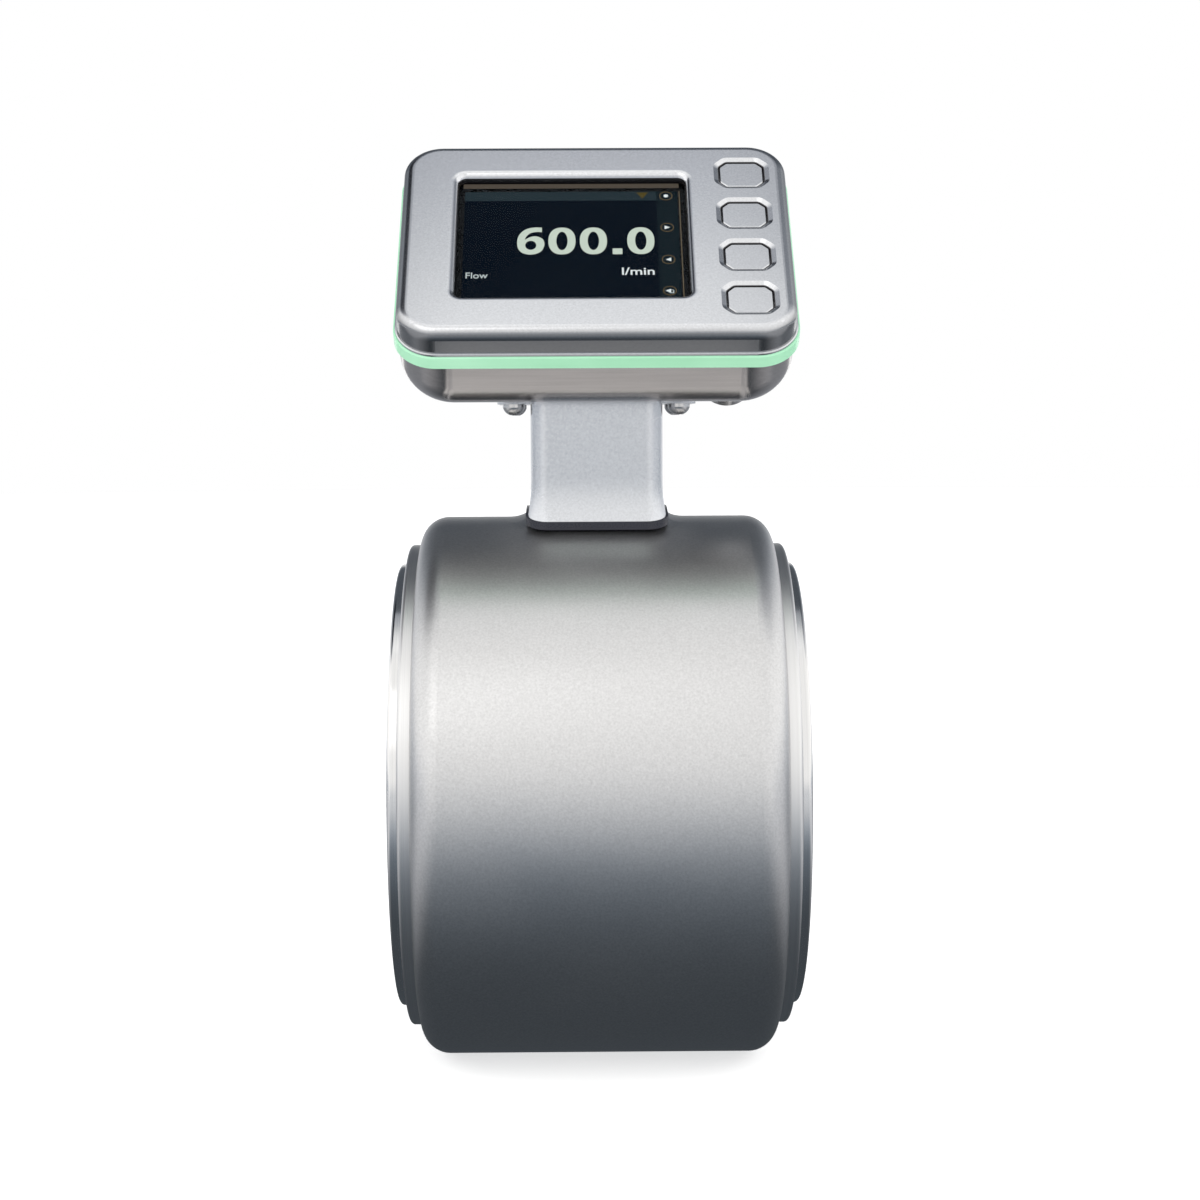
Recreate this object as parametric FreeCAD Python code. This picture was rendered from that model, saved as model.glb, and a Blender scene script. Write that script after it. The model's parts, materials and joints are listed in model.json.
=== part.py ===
import FreeCAD, Part
import math
import os

os.makedirs("parts", exist_ok=True)
V = FreeCAD.Vector

# Flow line: a horizontal bore along X, its middle is the origin, Z is up
BORE_R = 40.5
LINER_WALL = 3.5
TUBE_WALL = 3.0
LINER_R = BORE_R + LINER_WALL
TUBE_R = LINER_R + TUBE_WALL
END_X = 54.4
FLARE_T = 2.5

# End rings: a wide collar and a smaller face on each side
FACE_R = 61.2
FACE_T = 2.9
COLLAR_R = 66.5
COLLAR_T = 3.3
COLLAR_X = END_X - FACE_T
RING_EDGE = 1.0
SPIGOT_STEP = 2.6
SPIGOT_R = FACE_R - SPIGOT_STEP
SPIGOT_T = 4.5
SEAL_LAND = 1.2
SEAL_IN_R = TUBE_R + SEAL_LAND
SEAL_WIDTH = 3.0
SEAL_DEPTH = 2.3
SEAL_BELOW = 0.1
SEAL_ROUND = 1.2
BOLT_COUNT = 6
BOLT_HOLE_R = 2.1
BOLT_DEPTH = 6.0
BOLT_CIRCLE_R = (SEAL_IN_R + SEAL_WIDTH + FACE_R) / 2

# Body drum
BODY_R = 74.3
BODY_X = COLLAR_X - COLLAR_T
BODY_WALL = 3.0
BODY_EDGE = 7.4
PAD_HEIGHT = 1.1
PAD_BLEND = 9.0
PAD_MARGIN = 0.3
PAD_TOP_R = BODY_R + PAD_HEIGHT
GASKET_T = 2.0
SADDLE_R = PAD_TOP_R + GASKET_T

# Coils, electrodes and yoke inside the drum
SHOE_GAP = 0.2
SHOE_T = 3.0
SHOE_ANGLE = 35.0
SHOE_X = 25.0
CORE_R = 8.0
COIL_GAP = 1.1
COIL_R = 20.0
COIL_Z = TUBE_R + SHOE_GAP + SHOE_T + COIL_GAP
COIL_H = 5.5
YOKE_GAP = 1.0
YOKE_R = math.hypot(COIL_Z + COIL_H, COIL_R) + YOKE_GAP
YOKE_T = 2.5
YOKE_X = 14.0
PIN_R = 2.0
PIN_COLLAR_R = 4.2
PIN_COLLAR_T = 3.0
PIN_OUT = 3.5
PIN_LENGTH = LINER_WALL + TUBE_WALL + PIN_COLLAR_T + PIN_OUT
GROUND_ANGLE = 58.0

# Neck
NECK_HALF_X = 17.75
NECK_HALF_Y = 22.5
NECK_CORNER = 4.5
NECK_FLARE = 1.2
FLARE_BELOW = 0.8
FLARE_ABOVE = 10.7
NECK_FLARE_END = BODY_R - FLARE_BELOW
NECK_FLARE_TOP = BODY_R + FLARE_ABOVE
FLARE_STEPS = 4
NECK_WALL = 3.0
FLOOR_DROP = 1.0
NECK_FLOOR = NECK_FLARE_TOP - FLOOR_DROP
NECK_RISE = 32.9
NECK_TOP = BODY_R + NECK_RISE
FLANGE_T = 2.0
FLANGE_OUT = 9.0
FLANGE_IN = 2.5
FLANGE_HALF_X = NECK_HALF_X + FLANGE_OUT
FLANGE_HALF_Y = NECK_HALF_Y - FLANGE_IN
FLANGE_CORNER = 4.0
GASKET_OUT = 0.3
WIRE_HOLE_R = 8.0
WIRE_COUNT = 3
WIRE_R = 1.0
WIRE_CIRCLE_R = 2.4
WIRE_Y = -4.0
NECK_SCREW_R = 2.0
NECK_SCREW_HEAD_R = 3.5
NECK_SCREW_HEAD_H = 4.0
NECK_SCREW_GAP_X = 0.25
NECK_SCREW_GAP_Y = 1.0
NECK_SCREW_X = NECK_HALF_X - NECK_WALL - NECK_SCREW_HEAD_R - NECK_SCREW_GAP_X
NECK_SCREW_Y = NECK_HALF_Y - NECK_WALL - NECK_SCREW_HEAD_R - NECK_SCREW_GAP_Y
BOSS_MARGIN = 5.0
BOSS_GAP = 0.6
BOSS_Z = YOKE_R + YOKE_T + BOSS_GAP

# Screws that hold the head on the neck
FOOT_SCREW_SIDE = 4.35
FOOT_SCREW_END = 7.0
FOOT_SCREW_X = FLANGE_HALF_X - FOOT_SCREW_SIDE
FOOT_SCREW_Y = FLANGE_HALF_Y - FOOT_SCREW_END
DOME_R = 3.0
DOME_H = 3.1
DOME_RIM = 0.9
SOCKET_R = 1.15
SOCKET_DEPTH = 1.4
SCREW_R = 1.5
FOOT_SCREW_LENGTH = 8.4
FOOT_GASKET_T = 1.0

# Head, drawn flat with its face at z = 0 and then tilted about X
HEAD_TILT = 45.0
HEAD_DROP = 1.6
HEAD_AHEAD = 6.2
HEAD_HALF_X = 52.0
HEAD_HALF_Y = 38.0
HEAD_CORNER = 10.5
LEAST_CORNER = 1.0
HEAD_WALL = 2.6
HEAD_DEPTH = 31.8
FRONT_T = 2.5
FRONT_DEPTH = 8.0
FRONT_EDGE = 3.0
LIP_OUT = 0.55
LIP_T = 0.9
LIP_CHAMFER = 0.3
LIGHT_OUT = 1.0
LIGHT_T = 4.0
LIGHT_CHAMFER = 0.3
LIGHT_Z = FRONT_DEPTH + LIGHT_T
BACK_EDGE = 12.0
BACK_CORNER = 14.5

# Keys: a column of caps with cut corners, each sunk in a dished opening
KEY_HALF_X = 5.95
KEY_HALF_Y = 4.9
KEY_CUT = 1.9
KEY_ROUND = 1.2
KEY_DISH = 1.6
KEY_SUNK = 0.66
KEY_SIDE = 6.2
KEY_X = HEAD_HALF_X - KEY_SIDE - KEY_HALF_X
KEY_GAP = 6.98
KEY_PITCH = 2 * KEY_HALF_Y + KEY_GAP
KEY_COUNT = 4
KEY_CHAMFER = 0.3
KEY_CLEAR = 0.15
KEY_STEP = 1.0
KEY_STEP_T = 0.8
KEY_BACKLASH = 0.1
KEY_TRAVEL = 0.4
MAT_GAP = 0.1
MAT_T = 0.8
MAT_CORNER = 1.0
KEY_BOARD_T = 1.2

# Window and display
WINDOW_SIDE = 15.2
WINDOW_END = 14.1
WINDOW_TO_KEYS = 9.6
WINDOW_HALF_X = HEAD_HALF_X - (WINDOW_SIDE + WINDOW_TO_KEYS + 2 * KEY_HALF_X + KEY_SIDE) / 2
WINDOW_HALF_Y = HEAD_HALF_Y - WINDOW_END
WINDOW_X = WINDOW_SIDE + WINDOW_HALF_X - HEAD_HALF_X
WINDOW_Y = 0.45
WINDOW_CORNER = 2.0
WINDOW_EDGE = 2.2
GLASS_BORDER = 1.9
GLASS_BED = 0.3
GLASS_T = 0.8
DISPLAY_LAP_X = 2.95
DISPLAY_LAP_Y = 1.7
DISPLAY_HALF_X = WINDOW_HALF_X + DISPLAY_LAP_X
DISPLAY_HALF_Y = WINDOW_HALF_Y + DISPLAY_LAP_Y
DISPLAY_CORNER = 0.8
DISPLAY_T = 3.6

# Boards and frame inside the head
FRAME_T = 1.5
FRAME_LAP = 8.0
FRAME_CORNER = 3.0
FRAME_POST_SIDE = 8.5
FRAME_POST_END = 8.0
FRAME_POST_X = DISPLAY_HALF_X - FRAME_POST_SIDE
FRAME_POST_Y = HEAD_HALF_Y - FRAME_POST_END
FRAME_POST_R = 2.2
FRAME_SCREW_R = 1.0
FRAME_SCREW_GRIP = 3.0
FRAME_SCREW_HEAD_R = 1.9
FRAME_SCREW_HEAD_H = 1.4
RIB_HALF_X = 6.0
RIB_HALF_Y = 1.5
RIB_PITCH = 12.0
LED_BOARD_T = 1.2
LED_BOARD_WIDTH = 8.5
LED_SIZE = 1.6
LED_H = 0.8
LED_END = 16.3
LED_PITCH_X = (HEAD_HALF_X - LED_END) / 2
LED_PITCH_Y = 20.0
BOARD_T = 1.2
BOARD_GAP = 0.4
BOARD_MARGIN = 1.4
BOARD_BELOW = 2.0
BOARD_DEPTH = LIGHT_Z + BOARD_BELOW
POWER_BACK = 11.8
POWER_DEPTH = HEAD_DEPTH - POWER_BACK
POWER_SIDE = 28.0
POWER_END = 23.0
POWER_HALF_X = HEAD_HALF_X - POWER_SIDE
POWER_HALF_Y = HEAD_HALF_Y - POWER_END
POWER_CORNER = 1.5
STAND_R = 2.0
STAND_IN = 3.0
CHIP_HALF = 4.0
CHIP_H = 1.4
PROCESSOR_HALF = 8.0
SOCKET_HALF_X = 6.0
SOCKET_HALF_Y = 3.0
SOCKET_H = 2.4
CAPACITOR_R = 3.0
CAPACITOR_H = 4.5

# Screws that close the head
COVER_SCREW_SIDE = 7.3
COVER_SCREW_END = 14.0
COVER_SCREW_X = HEAD_HALF_X - COVER_SCREW_SIDE
COVER_SCREW_Y = HEAD_HALF_Y - COVER_SCREW_END
POST_R = 3.2
POST_SKIN = 0.8
BACK_POST_R = 4.6
SCREW_SINK = 3.2
SCREW_SEAT = HEAD_DEPTH - SCREW_SINK
SCREW_SEAT_GAP = 0.4
SCREW_SEAT_R = DOME_R + SCREW_SEAT_GAP
COVER_SEAL_T = 1.0
COVER_SEAL_UP = 0.5
COVER_SEAL_DOWN = 1.5

# Foot under the back cover
FOOT_FRONT = -20.5
FOOT_BACK = NECK_HALF_Y
FOOT_RISE = 8.0
FOOT_CORNER = 4.0
FOOT_HOLE_R = 5.0
FOOT_HOLE_Y = -5.0

# Connector
PLUG_SIDE = 16.0
PLUG_END = 27.0
PLUG_X = HEAD_HALF_X - PLUG_SIDE
PLUG_Y = PLUG_END - HEAD_HALF_Y
PLUG_R = 6.0
PLUG_LENGTH = 15.8
PLUG_CHAMFER = 0.5
PLUG_BASE_R = 7.4
PLUG_BASE_T = 3.3
PLUG_SINK = 0.6
PLUG_SEAT_GAP = 0.2
PLUG_STEM_R = 5.2
PLUG_STEM_OUT = 1.0
PLUG_BORE_R = 4.6
PLUG_NUT_R = 7.0
PLUG_NUT_T = 2.0
INSERT_DEPTH = 6.0
INSERT_FLOOR = PLUG_LENGTH - INSERT_DEPTH
CONTACT_R = 0.5
CONTACT_CIRCLE_R = 1.9
CONTACT_COUNT = 4
CONTACT_BELOW = 1.0
CONTACT_INSIDE = 3.0

# Levels that follow from the sizes above
HEAD_COS = math.cos(math.radians(90 - HEAD_TILT))
HEAD_SIN = math.sin(math.radians(90 - HEAD_TILT))
BACK_FLAT_Y = HEAD_HALF_Y - BACK_EDGE
BACK_FLAT_Z = HEAD_DEPTH - BACK_EDGE
HEAD_Y = -NECK_HALF_Y - HEAD_AHEAD + BACK_FLAT_Y * HEAD_COS - BACK_FLAT_Z * HEAD_SIN
HEAD_Z = NECK_TOP - HEAD_DROP + BACK_EDGE + BACK_FLAT_Y * HEAD_SIN + BACK_FLAT_Z * HEAD_COS
NECK_BASE_X = NECK_HALF_X + NECK_FLARE + GASKET_OUT
NECK_BASE_Y = NECK_HALF_Y + NECK_FLARE + GASKET_OUT
NECK_BASE_CORNER = NECK_CORNER + NECK_FLARE + GASKET_OUT
FOOT_Z = NECK_TOP + FOOT_GASKET_T
FRAME_TOP = -FRONT_T - GLASS_BED - GLASS_T
FRAME_Z = DISPLAY_T - FRAME_TOP
MAT_Z = FRONT_T + KEY_BACKLASH + KEY_STEP_T + KEY_TRAVEL + MAT_GAP
KEY_BOARD_Z = MAT_Z + MAT_T
SIDE_POST_GAP = 0.2
SIDE_POST_TOP = KEY_BOARD_Z + KEY_BOARD_T + SIDE_POST_GAP
PLUG_INSIDE = HEAD_WALL + PLUG_NUT_T + PLUG_STEM_OUT - HEAD_DEPTH
KEY_NAMES = ("key_top", "key_upper", "key_lower", "key_bottom")
# How far a cutting shape runs past what it cuts
PAST = 1.0


# Shapes
def rounded_face(points):
    edges = []
    ends = []
    count = len(points)
    for i in range(count):
        x, y, radius = points[i]
        corner = V(x, y, 0)
        before = V(points[i - 1][0], points[i - 1][1], 0) - corner
        after = V(points[(i + 1) % count][0], points[(i + 1) % count][1], 0) - corner
        if radius == 0:
            ends.append((corner, corner))
            continue
        before.normalize()
        after.normalize()
        half = before.getAngle(after) / 2
        reach = radius / math.tan(half)
        inward = before + after
        inward.normalize()
        first = corner + before * reach
        last = corner + after * reach
        middle = corner + inward * (radius / math.sin(half) - radius)
        edges.append(Part.Arc(first, middle, last).toShape())
        ends.append((first, last))
    for i in range(count):
        start = ends[i - 1][1]
        stop = ends[i][0]
        if start.distanceToPoint(stop) > 1e-6:
            edges.append(Part.makeLine(start, stop))
    return Part.Face(Part.Wire(Part.__sortEdges__(edges)))


def plate(half_x, half_y, corner, low, high, x=0.0, y=0.0):
    points = [
        (x - half_x, y - half_y, corner),
        (x + half_x, y - half_y, corner),
        (x + half_x, y + half_y, corner),
        (x - half_x, y + half_y, corner),
    ]
    face = rounded_face(points)
    face.translate(V(0, 0, low))
    return face.extrude(V(0, 0, high - low))


def turned(points):
    return rounded_face(points).revolve(V(0, 0, 0), V(1, 0, 0), 360)


def tube_x(inner, outer, half):
    ring = Part.makeCylinder(outer, 2 * half, V(-half, 0, 0), V(1, 0, 0))
    return ring.cut(Part.makeCylinder(inner, 2 * half, V(-half, 0, 0), V(1, 0, 0)))


def rod(radius, low, high, x=0.0, y=0.0):
    return Part.makeCylinder(radius, high - low, V(x, y, low))


def along_x(radius):
    return Part.makeCylinder(radius, 2 * BODY_R, V(-BODY_R, 0, 0), V(1, 0, 0))


def fuse(shapes):
    first = shapes[0]
    if len(shapes) == 1:
        return first
    return first.multiFuse(shapes[1:]).removeSplitter()


def edges_at(shape, z, half_x, half_y, x=0.0, y=0.0):
    found = []
    for edge in shape.Edges:
        box = edge.BoundBox
        level = abs(box.ZMin - z) < 1e-4 and abs(box.ZMax - z) < 1e-4
        inside_x = abs(box.Center.x - x) <= half_x + 0.01
        inside_y = abs(box.Center.y - y) <= half_y + 0.01
        if level and inside_x and inside_y:
            found.append(edge)
    return found


def four(x, y):
    return [(sx * x, sy * y) for sx in (-1, 1) for sy in (-1, 1)]


def dome_screw(length):
    outline = [
        V(-length, 0, 0),
        V(-length, SCREW_R, 0),
        V(0, SCREW_R, 0),
        V(0, DOME_R, 0),
        V(DOME_RIM, DOME_R, 0),
    ]
    rise = DOME_H - DOME_RIM
    sphere = (DOME_R ** 2 + rise ** 2) / (2 * rise)
    angle = math.asin(DOME_R / sphere) / 2
    middle = V(DOME_H - sphere + sphere * math.cos(angle), sphere * math.sin(angle), 0)
    edges = [Part.makeLine(a, b) for a, b in zip(outline, outline[1:])]
    edges.append(Part.Arc(V(DOME_RIM, DOME_R, 0), middle, V(DOME_H, 0, 0)).toShape())
    edges.append(Part.makeLine(V(DOME_H, 0, 0), V(-length, 0, 0)))
    screw = Part.Face(Part.Wire(edges)).revolve(V(0, 0, 0), V(1, 0, 0), 360)
    socket = Part.Wire(Part.makePolygon(hexagon(SOCKET_R)))
    hole = Part.Face(socket).extrude(V(0, 0, SOCKET_DEPTH + PAST))
    hole.rotate(V(0, 0, 0), V(0, 1, 0), 90)
    hole.translate(V(DOME_H - SOCKET_DEPTH, 0, 0))
    screw = screw.cut(hole)
    screw.rotate(V(0, 0, 0), V(0, 1, 0), -90)
    return screw


def hexagon(radius):
    return [
        V(radius * math.cos(math.radians(60 * i)), radius * math.sin(math.radians(60 * i)), 0)
        for i in range(7)
    ]


def cap_screw(radius, head_r, head_h, length):
    screw = rod(radius, -length, 0).fuse(rod(head_r, 0, head_h))
    hole = Part.Face(Part.Wire(Part.makePolygon(hexagon(radius)))).extrude(V(0, 0, head_h))
    hole.translate(V(0, 0, head_h / 2))
    return screw.cut(hole)


def placed(shape, spots, z, flip=False):
    copies = []
    for x, y in spots:
        copy = shape.copy()
        if flip:
            copy.rotate(V(0, 0, 0), V(1, 0, 0), 180)
        copy.translate(V(x, y, z))
        copies.append(copy)
    return Part.makeCompound(copies)


def tilt(shape):
    moved = shape.copy()
    turn = FreeCAD.Rotation(V(1, 0, 0), 90 - HEAD_TILT)
    moved.Placement = FreeCAD.Placement(V(0, HEAD_Y, HEAD_Z), turn).multiply(moved.Placement)
    return moved


def save(name, shape):
    shape.exportStep(os.path.join("parts", name + ".step"))


# Drum and flow line
def body_shell():
    inner_r = BODY_R - BODY_WALL
    inner_x = BODY_X - BODY_WALL
    outer = turned([
        (-BODY_X, 0, 0),
        (-BODY_X, BODY_R, BODY_EDGE),
        (BODY_X, BODY_R, BODY_EDGE),
        (BODY_X, 0, 0),
    ])
    stub_x = NECK_BASE_X + PAD_MARGIN - pad_reach()
    stub_y = NECK_BASE_Y + PAD_MARGIN - pad_reach()
    stub = plate(stub_x, stub_y, NECK_CORNER, 0, BODY_R + 3 * PAD_BLEND)
    joined = outer.fuse(stub)
    rim = []
    for edge in joined.Edges:
        box = edge.BoundBox
        low = box.ZMin > BODY_R / 2 and box.ZMax < BODY_R + 0.01
        near = abs(box.Center.x) < stub_x + 0.01 and abs(box.Center.y) < stub_y + 0.01
        if low and near and box.DiagonalLength > 0.1:
            rim.append(edge)
    joined = joined.makeFillet(PAD_BLEND, rim)
    joined = joined.common(along_x(PAD_TOP_R))
    inner = turned([
        (-inner_x, 0, 0),
        (-inner_x, inner_r, BODY_EDGE - BODY_WALL),
        (inner_x, inner_r, BODY_EDGE - BODY_WALL),
        (inner_x, 0, 0),
    ])
    boss = plate(NECK_SCREW_X + BOSS_MARGIN, NECK_SCREW_Y + BOSS_MARGIN, NECK_CORNER, BOSS_Z, BODY_R)
    shell = joined.cut(inner.cut(boss))
    shell = shell.cut(along_x(SPIGOT_R))
    shell = shell.cut(rod(WIRE_HOLE_R, 0, 2 * BODY_R))
    for x, y in four(NECK_SCREW_X, NECK_SCREW_Y):
        shell = shell.cut(rod(NECK_SCREW_R, 0, 2 * BODY_R, x, y))
    return shell


def pad_reach():
    drop = PAD_BLEND - PAD_HEIGHT
    return PAD_BLEND - math.sqrt(PAD_BLEND ** 2 - drop ** 2)


def end_ring():
    ring = turned([
        (BODY_X - SPIGOT_T, TUBE_R, 0),
        (BODY_X - SPIGOT_T, SPIGOT_R, 0),
        (BODY_X, SPIGOT_R, 0),
        (BODY_X, COLLAR_R, 0),
        (COLLAR_X, COLLAR_R, RING_EDGE),
        (COLLAR_X, FACE_R, 0),
        (END_X, FACE_R, RING_EDGE),
        (END_X, TUBE_R, 0),
    ])
    groove = turned([
        (END_X - SEAL_DEPTH, SEAL_IN_R, 0),
        (END_X - SEAL_DEPTH, SEAL_IN_R + SEAL_WIDTH, 0),
        (END_X + PAST, SEAL_IN_R + SEAL_WIDTH, 0),
        (END_X + PAST, SEAL_IN_R, 0),
    ])
    ring = ring.cut(groove)
    for i in range(BOLT_COUNT):
        angle = math.radians(360 / BOLT_COUNT * (i + 0.5))
        spot = V(END_X - BOLT_DEPTH, BOLT_CIRCLE_R * math.cos(angle), BOLT_CIRCLE_R * math.sin(angle))
        ring = ring.cut(Part.makeCylinder(BOLT_HOLE_R, BOLT_DEPTH + PAST, spot, V(1, 0, 0)))
    return ring


def end_seal():
    low = END_X - SEAL_DEPTH
    high = END_X - SEAL_BELOW
    return turned([
        (low, SEAL_IN_R, 0),
        (low, SEAL_IN_R + SEAL_WIDTH, 0),
        (high, SEAL_IN_R + SEAL_WIDTH, SEAL_ROUND),
        (high, SEAL_IN_R, SEAL_ROUND),
    ])


def mirrored(shape):
    return shape.mirror(V(0, 0, 0), V(1, 0, 0))


def electrode_hole(shape):
    for sign in (-1, 1):
        hole = Part.makeCylinder(PIN_R, TUBE_R + PAST, V(0, 0, 0), V(0, sign, 0))
        shape = shape.cut(hole)
    angle = math.radians(GROUND_ANGLE)
    way = V(0, math.sin(angle), -math.cos(angle))
    return shape.cut(Part.makeCylinder(PIN_R, TUBE_R + PAST, V(0, 0, 0), way))


def measuring_tube():
    return electrode_hole(tube_x(LINER_R, TUBE_R, END_X - FLARE_T))


def liner():
    inside = electrode_hole(tube_x(BORE_R, LINER_R, END_X))
    flare = tube_x(LINER_R, TUBE_R, END_X).cut(tube_x(LINER_R, TUBE_R, END_X - FLARE_T))
    return fuse([inside, flare])


def electrode(way):
    pin = Part.makeCylinder(PIN_R, PIN_LENGTH, way * BORE_R, way)
    collar = Part.makeCylinder(PIN_COLLAR_R, PIN_COLLAR_T, way * TUBE_R, way)
    return pin.fuse(collar).cut(along_x(BORE_R))


def magnet_core():
    shoe_r = TUBE_R + SHOE_GAP
    ring = tube_x(shoe_r, shoe_r + SHOE_T, SHOE_X)
    reach = 2 * BODY_R
    angle = math.radians(SHOE_ANGLE)
    wedge = Part.Face(Part.Wire(Part.makePolygon([
        V(-SHOE_X, 0, 0),
        V(-SHOE_X, reach * math.sin(angle), reach * math.cos(angle)),
        V(-SHOE_X, -reach * math.sin(angle), reach * math.cos(angle)),
        V(-SHOE_X, 0, 0),
    ]))).extrude(V(2 * SHOE_X, 0, 0))
    shoe = ring.common(wedge)
    core = rod(CORE_R, shoe_r + SHOE_T / 2, YOKE_R).common(along_x(YOKE_R))
    return fuse([shoe, core])


def coil():
    return rod(COIL_R, COIL_Z, COIL_Z + COIL_H).cut(rod(CORE_R, COIL_Z, COIL_Z + COIL_H))


def upside_down(shape):
    copy = shape.copy()
    copy.rotate(V(0, 0, 0), V(1, 0, 0), 180)
    return copy


def yoke():
    return tube_x(YOKE_R, YOKE_R + YOKE_T, YOKE_X)


def sensor_wires():
    above_board = tilt(head_plate(0, -POWER_DEPTH - BOARD_T, HEAD_DEPTH))
    wires = []
    for i in range(WIRE_COUNT):
        angle = math.radians(360 / WIRE_COUNT * i + 90)
        x = WIRE_CIRCLE_R * math.cos(angle)
        y = WIRE_Y + WIRE_CIRCLE_R * math.sin(angle)
        wire = rod(WIRE_R, YOKE_R, HEAD_Z, x, y).cut(along_x(YOKE_R + YOKE_T))
        wires.append(wire.cut(above_board))
    return Part.makeCompound(wires)


# Neck
def saddle_gasket():
    ring = tube_x(PAD_TOP_R, SADDLE_R, BODY_R)
    seal = ring.common(plate(NECK_BASE_X, NECK_BASE_Y, NECK_BASE_CORNER, 0, 2 * BODY_R))
    seal = seal.cut(rod(WIRE_HOLE_R, 0, 2 * BODY_R))
    for x, y in four(NECK_SCREW_X, NECK_SCREW_Y):
        seal = seal.cut(rod(NECK_SCREW_R, 0, 2 * BODY_R, x, y))
    return seal


def neck_flare():
    rise = NECK_FLARE_TOP - NECK_FLARE_END
    radius = (rise ** 2 + NECK_FLARE ** 2) / (2 * NECK_FLARE)
    wires = []
    for step in range(FLARE_STEPS + 1):
        z = NECK_FLARE_END + rise * step / FLARE_STEPS
        out = radius - math.sqrt(radius ** 2 - (NECK_FLARE_TOP - z) ** 2)
        corner = NECK_CORNER + out
        section = plate(NECK_HALF_X + out, NECK_HALF_Y + out, corner, z, z + PAST)
        wires.append(bottom_wire(section, z))
    flare = Part.makeLoft(wires, True, False)
    base_x = NECK_HALF_X + NECK_FLARE
    base_y = NECK_HALF_Y + NECK_FLARE
    low = plate(base_x, base_y, NECK_CORNER + NECK_FLARE, BODY_R / 2, NECK_FLARE_END)
    return [low, flare]


def bottom_wire(solid, z):
    for face in solid.Faces:
        if abs(face.BoundBox.ZMax - z) < 1e-6:
            return face.OuterWire


def neck():
    column = plate(NECK_HALF_X, NECK_HALF_Y, NECK_CORNER, NECK_FLARE_TOP, NECK_TOP)
    flange = plate(FLANGE_HALF_X, FLANGE_HALF_Y, FLANGE_CORNER, NECK_TOP - FLANGE_T, NECK_TOP)
    shape = fuse([column, flange] + neck_flare())
    shape = shape.cut(along_x(SADDLE_R))
    hollow_x = NECK_HALF_X - NECK_WALL
    hollow_y = NECK_HALF_Y - NECK_WALL
    shape = shape.cut(plate(hollow_x, hollow_y, NECK_CORNER - NECK_WALL, NECK_FLOOR, NECK_TOP + PAST))
    shape = shape.cut(rod(WIRE_HOLE_R, 0, NECK_FLOOR + PAST))
    for x, y in four(NECK_SCREW_X, NECK_SCREW_Y):
        shape = shape.cut(rod(NECK_SCREW_R, 0, NECK_FLOOR + PAST, x, y))
    for x, y in four(FOOT_SCREW_X, FOOT_SCREW_Y):
        shape = shape.cut(rod(SCREW_R, NECK_TOP - FLANGE_T - PAST, NECK_TOP + PAST, x, y))
    return shape


def foot_gasket():
    seal = plate(FLANGE_HALF_X, FLANGE_HALF_Y, FLANGE_CORNER, NECK_TOP, FOOT_Z)
    seal = seal.cut(rod(WIRE_HOLE_R, NECK_TOP, FOOT_Z))
    for x, y in four(FOOT_SCREW_X, FOOT_SCREW_Y):
        seal = seal.cut(rod(SCREW_R, NECK_TOP, FOOT_Z, x, y))
    return seal


# Head
def head_plate(grow, low, high):
    corner = max(HEAD_CORNER + grow, LEAST_CORNER)
    return plate(HEAD_HALF_X + grow, HEAD_HALF_Y + grow, corner, low, high)


def back_plate(grow, low, high):
    corner = max(BACK_CORNER + grow, LEAST_CORNER)
    return plate(HEAD_HALF_X + grow, HEAD_HALF_Y + grow, corner, low, high)


def frame_posts():
    return [(WINDOW_X + sx * FRAME_POST_X, sy * FRAME_POST_Y) for sx in (-1, 1) for sy in (-1, 1)]


def key_spots():
    first = KEY_PITCH * (KEY_COUNT - 1) / 2
    return [(KEY_X, first - KEY_PITCH * i) for i in range(KEY_COUNT)]


def front_cover():
    cover = head_plate(0, -FRONT_DEPTH, 0)
    cover = cover.makeFillet(FRONT_EDGE, edges_at(cover, 0, HEAD_HALF_X, HEAD_HALF_Y))
    lip = head_plate(LIP_OUT, -FRONT_DEPTH, LIP_T - FRONT_DEPTH)
    front = edges_at(lip, LIP_T - FRONT_DEPTH, HEAD_HALF_X + LIP_OUT, HEAD_HALF_Y + LIP_OUT)
    lip = lip.makeChamfer(LIP_CHAMFER, front)
    cover = cover.fuse(lip).cut(head_plate(-HEAD_WALL, -FRONT_DEPTH, -FRONT_T))
    posts = [rod(POST_R, -BOARD_DEPTH, -FRONT_T, -COVER_SCREW_X, s * COVER_SCREW_Y) for s in (-1, 1)]
    posts += side_posts()
    posts += [rod(FRAME_POST_R, -FRAME_Z, -FRONT_T, x, y) for x, y in frame_posts()]
    cover = fuse([cover] + posts)
    for x, y in four(COVER_SCREW_X, COVER_SCREW_Y):
        cover = cover.cut(rod(SCREW_R, -BOARD_DEPTH, -SIDE_POST_TOP - POST_SKIN, x, y))
    for x, y in frame_posts():
        cover = cover.cut(rod(FRAME_SCREW_R, -FRAME_Z, -FRONT_T - POST_SKIN, x, y))
    hole = plate(WINDOW_HALF_X, WINDOW_HALF_Y, WINDOW_CORNER, -FRONT_DEPTH, PAST, WINDOW_X, WINDOW_Y)
    cover = cover.cut(hole)
    rim = edges_at(cover, 0, WINDOW_HALF_X, WINDOW_HALF_Y, WINDOW_X, WINDOW_Y)
    cover = cover.makeFillet(WINDOW_EDGE, rim)
    for x, y in key_spots():
        cover = cover.cut(key_prism(KEY_CLEAR, -FRONT_T - PAST, PAST, x, y))
        cover = cover.cut(key_dish(x, y))
    return cover


def side_posts():
    posts = []
    for sign in (-1, 1):
        y = sign * COVER_SCREW_Y
        posts.append(rod(POST_R, -BOARD_DEPTH, -SIDE_POST_TOP, COVER_SCREW_X, y))
        posts.append(side_rib(0, -FRONT_DEPTH, -SIDE_POST_TOP, y))
    return posts


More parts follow.
